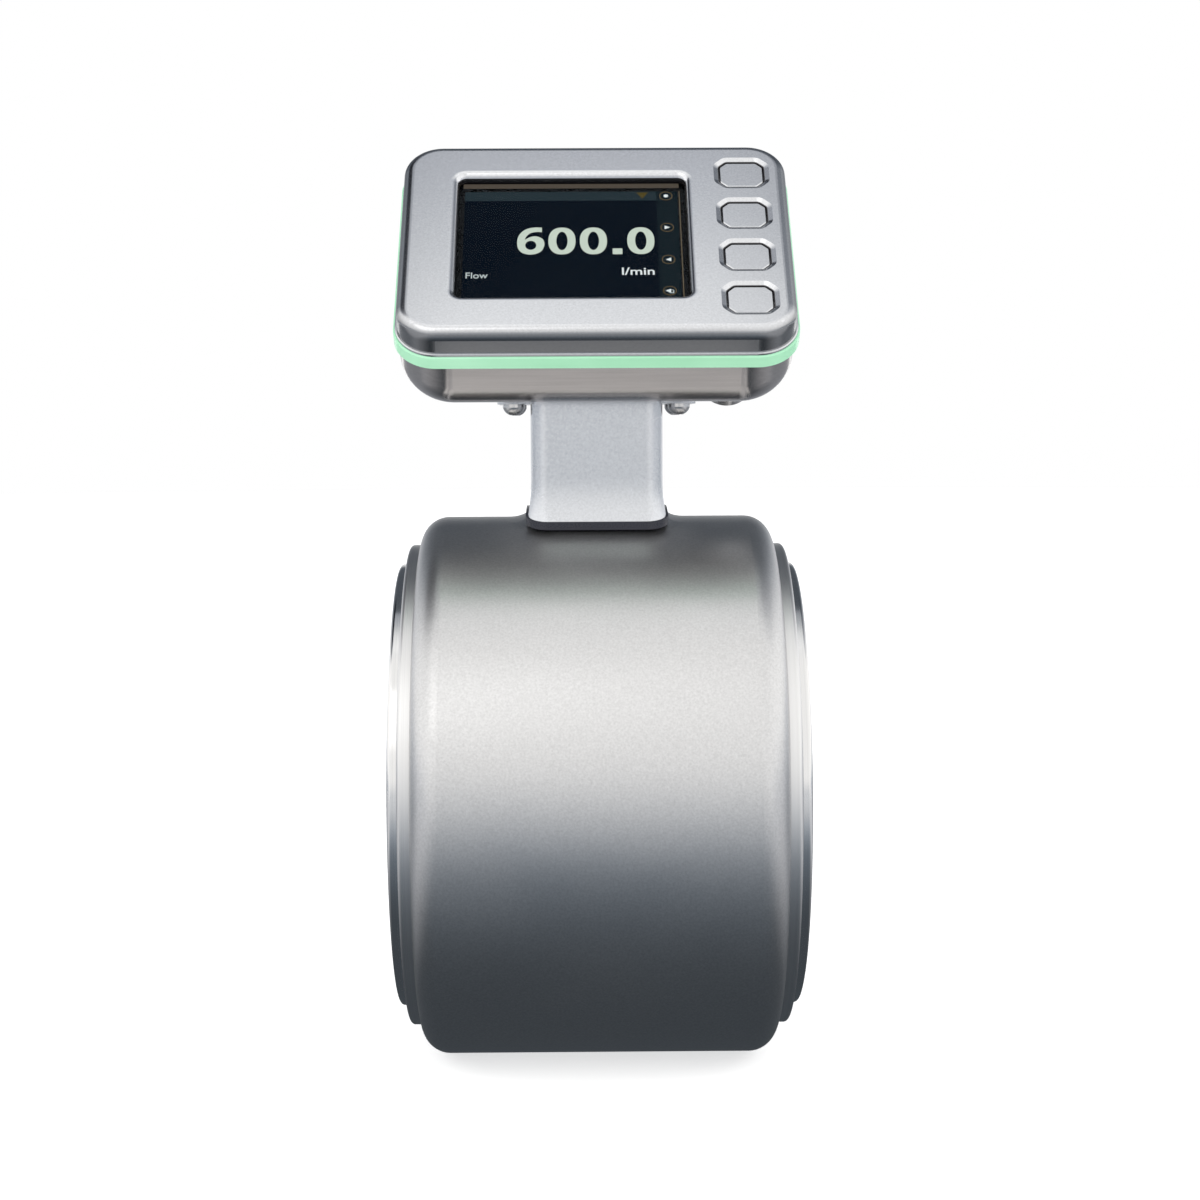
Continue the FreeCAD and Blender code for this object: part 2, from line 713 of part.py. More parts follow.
def side_rib(grow, low, high, y):
    end = HEAD_HALF_X - HEAD_WALL / 2
    middle = (COVER_SCREW_X + end) / 2
    half = (end - COVER_SCREW_X) / 2
    return plate(half + grow, POST_R + grow, 0, low, high, middle, y)


def key_outline(grow, z, x=0.0, y=0.0):
    half_x = KEY_HALF_X + grow
    half_y = KEY_HALF_Y + grow
    cut = KEY_CUT + grow * (2 - math.sqrt(2))
    quarter = [(half_x, half_y - cut), (half_x - cut, half_y)]
    points = quarter + [(-px, py) for px, py in reversed(quarter)]
    points += [(-px, -py) for px, py in points]
    face = rounded_face([(px, py, KEY_ROUND + grow) for px, py in points])
    face.translate(V(x, y, z))
    return face


def key_prism(grow, low, high, x=0.0, y=0.0):
    return key_outline(grow, low, x, y).extrude(V(0, 0, high - low))


def key_dish(x, y):
    floor = key_outline(KEY_CLEAR, -KEY_SUNK, x, y)
    rim = key_outline(KEY_DISH, 0, x, y)
    return Part.makeLoft([floor.OuterWire, rim.OuterWire], True, True)


def key():
    step_top = -FRONT_T - KEY_BACKLASH
    cap = key_prism(0, step_top - KEY_STEP_T, -KEY_SUNK)
    cap = cap.makeChamfer(KEY_CHAMFER, edges_at(cap, -KEY_SUNK, KEY_HALF_X, KEY_HALF_Y))
    return fuse([cap, key_prism(KEY_STEP, step_top - KEY_STEP_T, step_top)])


def key_strip(low, high):
    half_y = KEY_PITCH * (KEY_COUNT - 1) / 2 + KEY_HALF_Y + KEY_STEP
    return plate(KEY_HALF_X + KEY_STEP, half_y, MAT_CORNER, low, high, KEY_X, 0)


def key_mat():
    return key_strip(-KEY_BOARD_Z, -MAT_Z)


def key_board():
    return key_strip(-KEY_BOARD_Z - KEY_BOARD_T, -KEY_BOARD_Z)


def window_bed():
    half_x = WINDOW_HALF_X + GLASS_BORDER
    half_y = WINDOW_HALF_Y + GLASS_BORDER
    bed = plate(half_x, half_y, WINDOW_CORNER, -FRONT_T - GLASS_BED, -FRONT_T, WINDOW_X, WINDOW_Y)
    hole = plate(WINDOW_HALF_X, WINDOW_HALF_Y, WINDOW_CORNER, -FRONT_DEPTH, 0, WINDOW_X, WINDOW_Y)
    return bed.cut(hole)


def window_glass():
    top = -FRONT_T - GLASS_BED
    half_x = WINDOW_HALF_X + GLASS_BORDER
    half_y = WINDOW_HALF_Y + GLASS_BORDER
    return plate(half_x, half_y, WINDOW_CORNER, top - GLASS_T, top, WINDOW_X, WINDOW_Y)


def display_module():
    return plate(DISPLAY_HALF_X, DISPLAY_HALF_Y, DISPLAY_CORNER, -FRAME_Z, FRAME_TOP, WINDOW_X, 0)


def display_frame():
    low = -FRAME_Z - FRAME_T
    frame = back_plate(-HEAD_WALL - BOARD_GAP, low, -FRAME_Z)
    open_x = DISPLAY_HALF_X - FRAME_LAP
    open_y = DISPLAY_HALF_Y - FRAME_LAP
    frame = frame.cut(plate(open_x, open_y, FRAME_CORNER, low, -FRAME_Z, WINDOW_X, 0))
    rib_x = KEY_X - KEY_HALF_X + RIB_HALF_X
    rib_top = -KEY_BOARD_Z - KEY_BOARD_T
    ribs = [plate(RIB_HALF_X, RIB_HALF_Y, 0, -FRAME_Z, rib_top, rib_x, i * RIB_PITCH) for i in (-1, 0, 1)]
    frame = fuse([frame] + ribs)
    for x, y in four(COVER_SCREW_X, COVER_SCREW_Y):
        frame = frame.cut(rod(POST_R + BOARD_GAP, -BOARD_DEPTH, 0, x, y))
    for sign in (-1, 1):
        frame = frame.cut(side_rib(BOARD_GAP, -BOARD_DEPTH, 0, sign * COVER_SCREW_Y))
    for x, y in frame_posts():
        frame = frame.cut(rod(FRAME_SCREW_R, -BOARD_DEPTH, 0, x, y))
    return frame


def frame_screws():
    length = FRAME_T + FRAME_SCREW_GRIP
    screw = cap_screw(FRAME_SCREW_R, FRAME_SCREW_HEAD_R, FRAME_SCREW_HEAD_H, length)
    return placed(screw, frame_posts(), -FRAME_Z - FRAME_T, True)


def light_ring():
    high = -FRONT_DEPTH
    ring = head_plate(LIGHT_OUT, high - LIGHT_T, high)
    rims = edges_at(ring, high, HEAD_HALF_X + LIGHT_OUT, HEAD_HALF_Y + LIGHT_OUT)
    rims += edges_at(ring, high - LIGHT_T, HEAD_HALF_X + LIGHT_OUT, HEAD_HALF_Y + LIGHT_OUT)
    ring = ring.makeChamfer(LIGHT_CHAMFER, rims)
    return ring.cut(back_plate(-HEAD_WALL, high - LIGHT_T, high))


def led_board():
    high = -FRAME_Z - FRAME_T
    low = high - LED_BOARD_T
    board = back_plate(-HEAD_WALL - BOARD_GAP, low, high)
    board = board.cut(back_plate(-HEAD_WALL - BOARD_GAP - LED_BOARD_WIDTH, low, high))
    for x, y in four(COVER_SCREW_X, COVER_SCREW_Y):
        board = board.cut(rod(POST_R + BOARD_GAP, low, high, x, y))
    for x, y in frame_posts():
        board = board.cut(rod(FRAME_SCREW_HEAD_R + BOARD_GAP, low, high, x, y))
    edge_x = HEAD_HALF_X - HEAD_WALL - BOARD_GAP - LED_SIZE
    edge_y = HEAD_HALF_Y - HEAD_WALL - BOARD_GAP - LED_SIZE
    spots = [(i * LED_PITCH_X, s * edge_y) for i in range(-2, 3) for s in (-1, 1)]
    spots += four(edge_x, LED_PITCH_Y / 2)
    lights = [plate(LED_SIZE / 2, LED_SIZE / 2, 0, low - LED_H, low, x, y) for x, y in spots]
    return fuse([board] + lights)


def cover_seal():
    low = -LIGHT_Z - COVER_SEAL_DOWN
    high = -LIGHT_Z + COVER_SEAL_UP
    return back_plate(-HEAD_WALL, low, high).cut(back_plate(-HEAD_WALL - COVER_SEAL_T, low, high))


def main_board():
    low = -BOARD_DEPTH - BOARD_T
    board = back_plate(-HEAD_WALL - BOARD_MARGIN, low, -BOARD_DEPTH)
    left = -POWER_HALF_X / 2
    right = POWER_HALF_X / 2
    parts = [
        on_board(PROCESSOR_HALF, PROCESSOR_HALF, CHIP_H, left, POWER_HALF_Y / 2),
        on_board(CHIP_HALF, CHIP_HALF, CHIP_H, right, POWER_HALF_Y),
        on_board(SOCKET_HALF_X, SOCKET_HALF_Y, SOCKET_H, right, -POWER_HALF_Y / 2),
        on_board(SOCKET_HALF_X, SOCKET_HALF_Y, SOCKET_H, left, -POWER_HALF_Y),
    ]
    corners = four(POWER_HALF_X - STAND_IN, POWER_HALF_Y - STAND_IN)
    stands = [rod(STAND_R, -POWER_DEPTH, low, x, y) for x, y in corners]
    board = fuse([board] + parts + stands)
    for x, y in four(COVER_SCREW_X, COVER_SCREW_Y):
        board = board.cut(rod(SCREW_R, low, -BOARD_DEPTH, x, y))
    return board


def on_board(half_x, half_y, height, x, y):
    return plate(half_x, half_y, 0, -BOARD_DEPTH, height - BOARD_DEPTH, x, y)


def power_board():
    low = -POWER_DEPTH - BOARD_T
    board = plate(POWER_HALF_X, POWER_HALF_Y, POWER_CORNER, low, -POWER_DEPTH)
    left = -POWER_HALF_X / 2 - CAPACITOR_R
    right = POWER_HALF_X / 2
    cans = [rod(CAPACITOR_R, low - CAPACITOR_H, low, left, s * 2 * CAPACITOR_R) for s in (-1, 1)]
    plug = plate(SOCKET_HALF_X, SOCKET_HALF_Y, 0, low - SOCKET_H, low, right, -POWER_HALF_Y / 3)
    chip = plate(CHIP_HALF, CHIP_HALF, 0, low - CHIP_H, low, right, POWER_HALF_Y / 2)
    return fuse([board, plug, chip] + cans)


def tray_outside():
    tray = back_plate(0, -HEAD_DEPTH, -LIGHT_Z)
    return tray.makeFillet(BACK_EDGE, edges_at(tray, -HEAD_DEPTH, HEAD_HALF_X, HEAD_HALF_Y))


def back_cover():
    rim = -LIGHT_Z
    hollow = back_plate(-HEAD_WALL, HEAD_WALL - HEAD_DEPTH, rim)
    floor = edges_at(hollow, HEAD_WALL - HEAD_DEPTH, HEAD_HALF_X, HEAD_HALF_Y)
    hollow = hollow.makeFillet(BACK_EDGE - HEAD_WALL, floor)
    inside = HEAD_WALL - HEAD_DEPTH
    nut_seat = rod(PLUG_NUT_R + PLUG_SEAT_GAP, inside, inside + PLUG_NUT_T, PLUG_X, PLUG_Y)
    hollow = hollow.fuse(nut_seat)
    for x, y in four(COVER_SCREW_X, COVER_SCREW_Y):
        hollow = hollow.cut(rod(BACK_POST_R, -HEAD_DEPTH, -BOARD_DEPTH - BOARD_T, x, y))
    tray = tray_outside().cut(hollow)
    tray = tray.cut(rod(PLUG_STEM_R, -HEAD_DEPTH - PAST, -HEAD_DEPTH + 2 * HEAD_WALL, PLUG_X, PLUG_Y))
    seat_r = PLUG_BASE_R + PLUG_SEAT_GAP
    tray = tray.cut(rod(seat_r, -HEAD_DEPTH - PAST, PLUG_SINK - HEAD_DEPTH, PLUG_X, PLUG_Y))
    for x, y in four(COVER_SCREW_X, COVER_SCREW_Y):
        tray = tray.cut(rod(SCREW_R, -HEAD_DEPTH - PAST, rim, x, y))
        tray = tray.cut(rod(SCREW_SEAT_R, -HEAD_DEPTH - PAST, -SCREW_SEAT, x, y))
    return tilt(tray).cut(cable_duct())


def cable_duct():
    return rod(FOOT_HOLE_R, FOOT_Z - PAST, HEAD_Z - BACK_EDGE, 0, FOOT_HOLE_Y)


def head_foot():
    tilt_angle = math.radians(HEAD_TILT)
    inward = V(-math.cos(tilt_angle), math.sin(tilt_angle), 0)
    plane = V(HEAD_Y, HEAD_Z, 0) - inward * BACK_FLAT_Z

    def on_plane(point, way):
        side = (point - plane).dot(inward)
        return point - way * (side / way.dot(inward))

    front = V(FOOT_FRONT, FOOT_Z, 0)
    rear = V(FOOT_BACK, FOOT_Z, 0)
    rise = V(FOOT_BACK, FOOT_Z + FOOT_RISE, 0)
    top = on_plane(rise, inward)
    back = on_plane(front, V(0, 1, 0))
    points = [
        (front.x, front.y, 0),
        (rear.x, rear.y, FOOT_CORNER),
        (rise.x, rise.y, FOOT_CORNER),
        (top.x, top.y, 0),
        (back.x, back.y, 0),
    ]
    outline = rounded_face(points)
    outline.rotate(V(0, 0, 0), V(1, 1, 1), 120)
    outline.translate(V(-FLANGE_HALF_X, 0, 0))
    foot = outline.extrude(V(2 * FLANGE_HALF_X, 0, 0)).cut(tilt(tray_outside()))
    foot = foot.cut(cable_duct())
    for x, y in four(FOOT_SCREW_X, FOOT_SCREW_Y):
        foot = foot.cut(rod(SCREW_R, FOOT_Z - PAST, NECK_TOP - FLANGE_T + FOOT_SCREW_LENGTH, x, y))
    return foot


def foot_screws():
    return placed(dome_screw(FOOT_SCREW_LENGTH), four(FOOT_SCREW_X, FOOT_SCREW_Y), NECK_TOP - FLANGE_T, True)


def cover_screws():
    screw = dome_screw(SCREW_SEAT - SIDE_POST_TOP - 2 * POST_SKIN)
    return placed(screw, four(COVER_SCREW_X, COVER_SCREW_Y), -SCREW_SEAT, True)


def connector_shell():
    end = -HEAD_DEPTH - PLUG_LENGTH
    shell = rod(PLUG_R, end, -HEAD_DEPTH, PLUG_X, PLUG_Y)
    base = rod(PLUG_BASE_R, -HEAD_DEPTH - PLUG_BASE_T, PLUG_SINK - HEAD_DEPTH, PLUG_X, PLUG_Y)
    stem = rod(PLUG_STEM_R, -HEAD_DEPTH, PLUG_INSIDE, PLUG_X, PLUG_Y)
    shell = fuse([shell, base, stem])
    mouth = edges_at(shell, end, PLUG_R, PLUG_R, PLUG_X, PLUG_Y)
    shell = shell.makeChamfer(PLUG_CHAMFER, mouth)
    return shell.cut(rod(PLUG_BORE_R, end, PLUG_INSIDE, PLUG_X, PLUG_Y))


def connector_nut():
    low = -HEAD_DEPTH + HEAD_WALL
    outline = Part.Face(Part.Wire(Part.makePolygon(hexagon(PLUG_NUT_R))))
    outline.translate(V(PLUG_X, PLUG_Y, low))
    nut = outline.extrude(V(0, 0, PLUG_NUT_T))
    return nut.cut(rod(PLUG_STEM_R, low, low + PLUG_NUT_T, PLUG_X, PLUG_Y))


def contact_spots():
    spots = []
    for i in range(CONTACT_COUNT):
        angle = math.radians(360 / CONTACT_COUNT * i + 45)
        x = PLUG_X + CONTACT_CIRCLE_R * math.cos(angle)
        y = PLUG_Y + CONTACT_CIRCLE_R * math.sin(angle)
        spots.append((x, y))
    return spots


def connector_insert():
    insert = rod(PLUG_BORE_R, -HEAD_DEPTH - INSERT_FLOOR, PLUG_INSIDE, PLUG_X, PLUG_Y)
    for x, y in contact_spots():
        insert = insert.cut(rod(CONTACT_R, -HEAD_DEPTH - INSERT_FLOOR, PLUG_INSIDE, x, y))
    return insert


def connector_pins():
    low = -HEAD_DEPTH - PLUG_LENGTH + CONTACT_BELOW
    high = PLUG_INSIDE - PLUG_STEM_OUT + CONTACT_INSIDE
    return Part.makeCompound([rod(CONTACT_R, low, high, x, y) for x, y in contact_spots()])


# Files
save("body_shell", body_shell())
save("end_ring_right", end_ring())
save("end_ring_left", mirrored(end_ring()))
save("end_seal_right", end_seal())
save("end_seal_left", mirrored(end_seal()))
save("measuring_tube", measuring_tube())
save("liner", liner())
save("electrode_front", electrode(V(0, -1, 0)))
save("electrode_rear", electrode(V(0, 1, 0)))
GROUND = math.radians(GROUND_ANGLE)
save("ground_electrode", electrode(V(0, math.sin(GROUND), -math.cos(GROUND))))
save("core_upper", magnet_core())
save("core_lower", upside_down(magnet_core()))
save("coil_upper", coil())
save("coil_lower", upside_down(coil()))
save("yoke", yoke())
save("sensor_wires", sensor_wires())
save("saddle_gasket", saddle_gasket())
save("neck", neck())
NECK_SCREW_LENGTH = NECK_FLOOR - BOSS_Z - PAST
NECK_SCREW = cap_screw(NECK_SCREW_R, NECK_SCREW_HEAD_R, NECK_SCREW_HEAD_H, NECK_SCREW_LENGTH)
save("neck_screws", placed(NECK_SCREW, four(NECK_SCREW_X, NECK_SCREW_Y), NECK_FLOOR))
save("foot_gasket", foot_gasket())
save("foot_screws", foot_screws())
save("head_foot", head_foot())
save("back_cover", back_cover())
save("cover_screws", tilt(cover_screws()))
save("light_ring", tilt(light_ring()))
save("led_board", tilt(led_board()))
save("cover_seal", tilt(cover_seal()))
save("front_cover", tilt(front_cover()))
save("window_bed", tilt(window_bed()))
save("window_glass", tilt(window_glass()))
save("display_module", tilt(display_module()))
save("display_frame", tilt(display_frame()))
save("frame_screws", tilt(frame_screws()))
for NAME, SPOT in zip(KEY_NAMES, key_spots()):
    CAP = key()
    CAP.translate(V(SPOT[0], SPOT[1], 0))
    save(NAME, tilt(CAP))
save("key_mat", tilt(key_mat()))
save("key_board", tilt(key_board()))
save("main_board", tilt(main_board()))
save("power_board", tilt(power_board()))
save("connector_shell", tilt(connector_shell()))
save("connector_nut", tilt(connector_nut()))
save("connector_insert", tilt(connector_insert()))
save("connector_pins", tilt(connector_pins()))
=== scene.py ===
import json
import math

import bmesh
import bpy
from mathutils import Matrix, Vector


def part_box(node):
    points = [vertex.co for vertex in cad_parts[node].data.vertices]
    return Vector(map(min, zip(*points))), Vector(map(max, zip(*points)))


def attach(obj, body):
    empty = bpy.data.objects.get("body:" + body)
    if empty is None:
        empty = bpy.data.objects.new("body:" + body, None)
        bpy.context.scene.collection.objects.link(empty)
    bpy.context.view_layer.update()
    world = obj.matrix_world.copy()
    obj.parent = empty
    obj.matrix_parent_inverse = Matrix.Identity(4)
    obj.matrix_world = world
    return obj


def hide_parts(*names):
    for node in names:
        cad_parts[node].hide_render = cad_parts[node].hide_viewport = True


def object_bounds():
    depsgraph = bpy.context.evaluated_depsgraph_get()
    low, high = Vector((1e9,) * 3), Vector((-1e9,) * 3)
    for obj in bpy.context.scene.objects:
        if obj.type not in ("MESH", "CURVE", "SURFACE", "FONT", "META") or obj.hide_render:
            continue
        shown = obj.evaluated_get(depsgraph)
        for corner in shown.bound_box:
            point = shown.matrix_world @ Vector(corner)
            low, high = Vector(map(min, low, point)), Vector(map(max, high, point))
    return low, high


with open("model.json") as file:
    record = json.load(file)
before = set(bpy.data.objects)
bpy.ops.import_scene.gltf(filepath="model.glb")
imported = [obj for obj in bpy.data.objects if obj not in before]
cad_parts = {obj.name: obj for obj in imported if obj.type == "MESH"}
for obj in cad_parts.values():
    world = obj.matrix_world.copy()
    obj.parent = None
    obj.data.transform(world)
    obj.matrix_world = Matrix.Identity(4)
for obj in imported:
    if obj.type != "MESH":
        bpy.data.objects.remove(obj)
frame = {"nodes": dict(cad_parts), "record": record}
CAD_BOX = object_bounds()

MM = 0.001
NODES = frame["nodes"]
BODY = "meter"

# The head is flat in its own frame, face at Z = 0, and leans back by this much
HEAD_LEAN = math.radians(45)
HEAD_AT = Vector((0, -24.316, 149.986)) * MM
HEAD = Matrix.Translation(HEAD_AT) @ Matrix.Rotation(HEAD_LEAN, 4, "X")

# Camera, fitted to the edges in the photograph
PHOTO_SIDE = 1200
PHOTO_FOCAL = 2416.3
SENSOR = 36.0
CAMERA_AT = Vector((-5.39, -670.5, 99.06)) * MM
CAMERA_TURN = -0.533
CAMERA_PITCH = -4.104
CAMERA_ROLL = 0.29

# Glass and what shows through it: heights in the head's own frame, in millimetres
GLASS_TOP = -2.8
PANE_T = 0.6
PANE_CORNER = 2.0
PANE_PLAY = 0.2
SCREEN_Z = -3.58
INK_T = 0.02

# Painted shade: black at the foot of the openings, where the recesses lie in shade: how deep it
# starts, and where the keys' column begins
RECESS_SHADE_FROM = 1.15
KEY_RECESS_SHADE_FROM = 0.50
KEYS_FROM = 31.0
RECESS_SHADE_SOFT = 0.08

# Painted shade: a darker side band of the cover, outside these lines, over these depths
SHADE_BAND_PAST_X = (47.8, 48.2)
SHADE_BAND_PAST_Y = (33.8, 34.2)
SHADE_BAND_FALL = (0.1, 1.3)
SHADE_BAND_LIP = (6.95, 7.1)

# Screen areas in millimetres: left, right, low, high
ACTIVE = (-35.3, 22.3, -21.6, 21.6)
STATUS_LOW = 17.9
SIDE_LEFT = 16.6
DIGITS = (-20.95, 15.50, -4.10, 6.75)
UNIT = (6.8, 15.4, -12.35, -9.4)
CAPTION = (-34.35, -28.5, -13.5, -11.15)
ICON_X = 19.22
ICON_Y = (19.7, 6.67, -6.3, -18.6)
ICON_R = 1.8
ICON_LINE = 0.24
DOT_R = 0.62
ARROW = [(-0.7, 0.75), (-0.7, -0.75), (0.75, 0)]
HOOK = (-0.1, 1.1, -0.95, 0.25)
HOOK_INSIDE = (-0.3, 0.85, -0.70, 0.45)
WARNING = (12.8, 19.9)
WARNING_HALF = (1.6, 1.3)
RIGHT_LINE = (22.72, 22.96)
TOP_STRIP = (23.1, 24.9)

# The large figures: how wide they are, and where each starts in the box
FIGURE_WIDE = 7.25
FIGURE_STARTS = (0.0, 8.32, 16.70, 29.35)
POINT = (25.4, 28.0, 0.0, 2.3)
ZERO_HOLE = (0.415, 0.685)
ZERO_POWER = 2.3
SIX_EDGE = [
    (242, 0), (182, -3), (112, 7), (52, 37), (12, 87), (0, 147), (10, 207), (47, 249),
    (102, 267), (134, 269), (182, 263), (237, 237), (265, 187), (267, 152), (252, 117), (212, 94),
    (167, 87), (122, 97), (77, 119), (92, 87), (127, 57), (172, 45), (212, 43), (242, 47),
]
SIX_CORNERS = (0, len(SIX_EDGE) - 1)
SIX_SIZE = (267, 269)
SIX_HOLE = (134, 177, 54, 45)

# End rings in millimetres: distance along and from the bore's axis, and each corner's rounding
RING = [
    (43.7, 47.0, 0), (43.7, 58.6, 0), (48.2, 58.6, 0), (48.2, 66.5, 0), (51.5, 66.5, 1.0),
    (51.5, 61.2, 0), (54.4, 61.2, 1.0), (54.4, 51.2, 0), (52.1, 51.2, 0), (52.1, 48.2, 0),
    (54.4, 48.2, 0), (54.4, 47.0, 0),
]
RING_TURNS = 240
RING_ARC_STEPS = 8
RING_LAND = 0.08
HOLE_COUNT = 6
HOLE_FROM = 48.4
HOLE_CUT = 8.0
HOLE_R = 2.1
HOLE_STEPS = 40
HOLE_CIRCLE_R = 56.2
SHARP_FROM = math.radians(30)

# Noise mostly lies between these two values, so ranges are taken between them
NOISE_LOW = 0.3
NOISE_HIGH = 0.7


# Node trees
def material(name):
    mat = bpy.data.materials.new(name)
    mat.use_nodes = True
    tree = mat.node_tree
    tree.nodes.clear()
    out = tree.nodes.new("ShaderNodeOutputMaterial")
    shader = tree.nodes.new("ShaderNodeBsdfPrincipled")
    tree.links.new(shader.outputs["BSDF"], out.inputs["Surface"])
    return mat, tree, shader


def node(tree, kind, values=None, **settings):
    made = tree.nodes.new(kind)
    for key, value in settings.items():
        setattr(made, key, value)
    for key, value in (values or {}).items():
        if hasattr(value, "is_output"):
            tree.links.new(value, made.inputs[key])
        else:
            made.inputs[key].default_value = value
    return made


def place(tree):
    return node(tree, "ShaderNodeTexCoord").outputs["Object"]


def worked(tree, operation, *inputs):
    return node(tree, "ShaderNodeMath", dict(enumerate(inputs)), operation=operation).outputs[0]


def vector_worked(tree, operation, *inputs, result="Vector"):
    made = node(tree, "ShaderNodeVectorMath", dict(enumerate(inputs)), operation=operation)
    return made.outputs[result]


def blended(tree, factor, first, second):
    values = {"Factor": factor, 6: first, 7: second}
    return node(tree, "ShaderNodeMix", values, data_type="RGBA").outputs[2]


def split(tree, vector):
    return node(tree, "ShaderNodeSeparateXYZ", {0: vector}).outputs


def noise(tree, vector, scale, detail=2.0, rough=0.5):
    values = {"Vector": vector, "Scale": scale, "Detail": detail, "Roughness": rough}
    return node(tree, "ShaderNodeTexNoise", values).outputs["Fac"]


def ranged(tree, value, low, high, start=NOISE_LOW, stop=NOISE_HIGH):
    values = {"Value": value, "From Min": start, "From Max": stop, "To Min": low, "To Max": high}
    return node(tree, "ShaderNodeMapRange", values, clamp=True).outputs["Result"]


def tinted(tree, value, first, second):
    made = node(tree, "ShaderNodeValToRGB", {"Fac": value})
    stops = ((NOISE_LOW, first), (NOISE_HIGH, second))
    for element, (where, color) in zip(made.color_ramp.elements, stops):
        element.position = where
        element.color = (*color, 1)
    return made.outputs["Color"]


# A colour that changes along a value, by stops
def ramp(tree, value, stops, low=-1.0, high=1.0):
    values = {"Value": value, "From Min": low, "From Max": high}
    spread = node(tree, "ShaderNodeMapRange", values).outputs["Result"]
    made = node(tree, "ShaderNodeValToRGB", {"Fac": spread})
    elements = made.color_ramp.elements
    while len(elements) < len(stops):
        elements.new(0.5)
    for element, (where, color) in zip(elements, stops):
        element.position = (where - low) / (high - low)
        element.color = (*color, 1)
    return made.outputs["Color"]


def bump(tree, height, distance):
    values = {"Height": height, "Distance": distance, "Strength": 1.0}
    return node(tree, "ShaderNodeBump", values).outputs["Normal"]


def shade(color, factor):
    return tuple(min(1.0, c * factor) for c in color)


# Steel with a fine blasted grain: size of the grain in metres
def blasted(name, color, rough, grain, depth, speck=0.07):
    mat, tree, shader = material(name)
    at = place(tree)
    fine = noise(tree, at, 1 / grain, 3.0, 0.65)
    cloud = noise(tree, at, 28.0, 3.0)
    shader.inputs["Metallic"].default_value = 1.0
    link = tree.links.new
    steel = tinted(tree, fine, shade(color, 1 - speck), shade(color, 1 + speck))
    link(steel, shader.inputs["Base Color"])
    link(ranged(tree, cloud, rough - 0.03, rough + 0.03), shader.inputs["Roughness"])
    link(bump(tree, fine, depth), shader.inputs["Normal"])
    return mat


# Full before the first of two distances in millimetres, and down to a rest past the second
def faded(tree, value, between, rest=0.0):
    return ranged(tree, value, 1.0, rest, between[0] * MM, between[1] * MM)


# The cover of the head: blasted face, with painted shade: a darker side band, and black at the foot
# of each opening where the recess lies in shade
def cover_steel(name, color, rough):
    mat, tree, shader = material(name)
    at = place(tree)
    link = tree.links.new
    fine = noise(tree, at, 2000.0, 3.0, 0.65)
    cloud = noise(tree, at, 28.0, 3.0)
    moved = vector_worked(tree, "SUBTRACT", at, tuple(HEAD_AT))
    turned_back = {"Vector": moved, "Angle": -HEAD_LEAN}
    level = node(tree, "ShaderNodeVectorRotate", turned_back, rotation_type="X_AXIS").outputs[0]
    local = split(tree, level)
    deep = worked(tree, "MULTIPLY", local["Z"], -1.0)
    in_x = faded(tree, worked(tree, "ABSOLUTE", local["X"]), SHADE_BAND_PAST_X)
    in_y = faded(tree, worked(tree, "ABSOLUTE", local["Y"]), SHADE_BAND_PAST_Y)
    inner = worked(tree, "MULTIPLY", in_x, in_y)
    outer = worked(tree, "SUBTRACT", 1.0, inner)
    recess_shade_starts = (RECESS_SHADE_FROM * MM, KEY_RECESS_SHADE_FROM * MM)
    edge = ranged(tree, local["X"], *recess_shade_starts, KEYS_FROM * MM, (KEYS_FROM + 0.1) * MM)
    below = ranged(tree, worked(tree, "SUBTRACT", deep, edge), 0.0, 1.0, 0.0, RECESS_SHADE_SOFT * MM)
    # painted shade: past these depths the walls of each opening turn black and lose their metal,
    # where the recess lies in shade
    recess_shade = worked(tree, "MULTIPLY", below, inner)
    fall = ranged(tree, deep, 0.0, 1.0, SHADE_BAND_FALL[0] * MM, SHADE_BAND_FALL[1] * MM)
    lip = faded(tree, deep, SHADE_BAND_LIP, 0.25)
    # painted shade: the cover's sides past the face take a darker copy of the steel
    painted_shade_band = worked(tree, "MULTIPLY", worked(tree, "MULTIPLY", fall, lip), outer)
    steel = tinted(tree, fine, shade(color, 0.93), shade(color, 1.07))
    painted_dark_steel = tinted(tree, fine, shade(color, 0.40), shade(color, 0.46))
    # colour of the painted shade at the foot of the openings
    shade_black = (0.010, 0.010, 0.012, 1)
    mixed = blended(tree, recess_shade, blended(tree, painted_shade_band, steel, painted_dark_steel), shade_black)
    link(mixed, shader.inputs["Base Color"])
    metal = worked(tree, "SUBTRACT", 1.0, recess_shade)
    link(metal, shader.inputs["Metallic"])
    link(ranged(tree, cloud, rough - 0.03, rough + 0.03), shader.inputs["Roughness"])
    link(bump(tree, worked(tree, "MULTIPLY", fine, metal), 0.000008), shader.inputs["Normal"])
    return mat


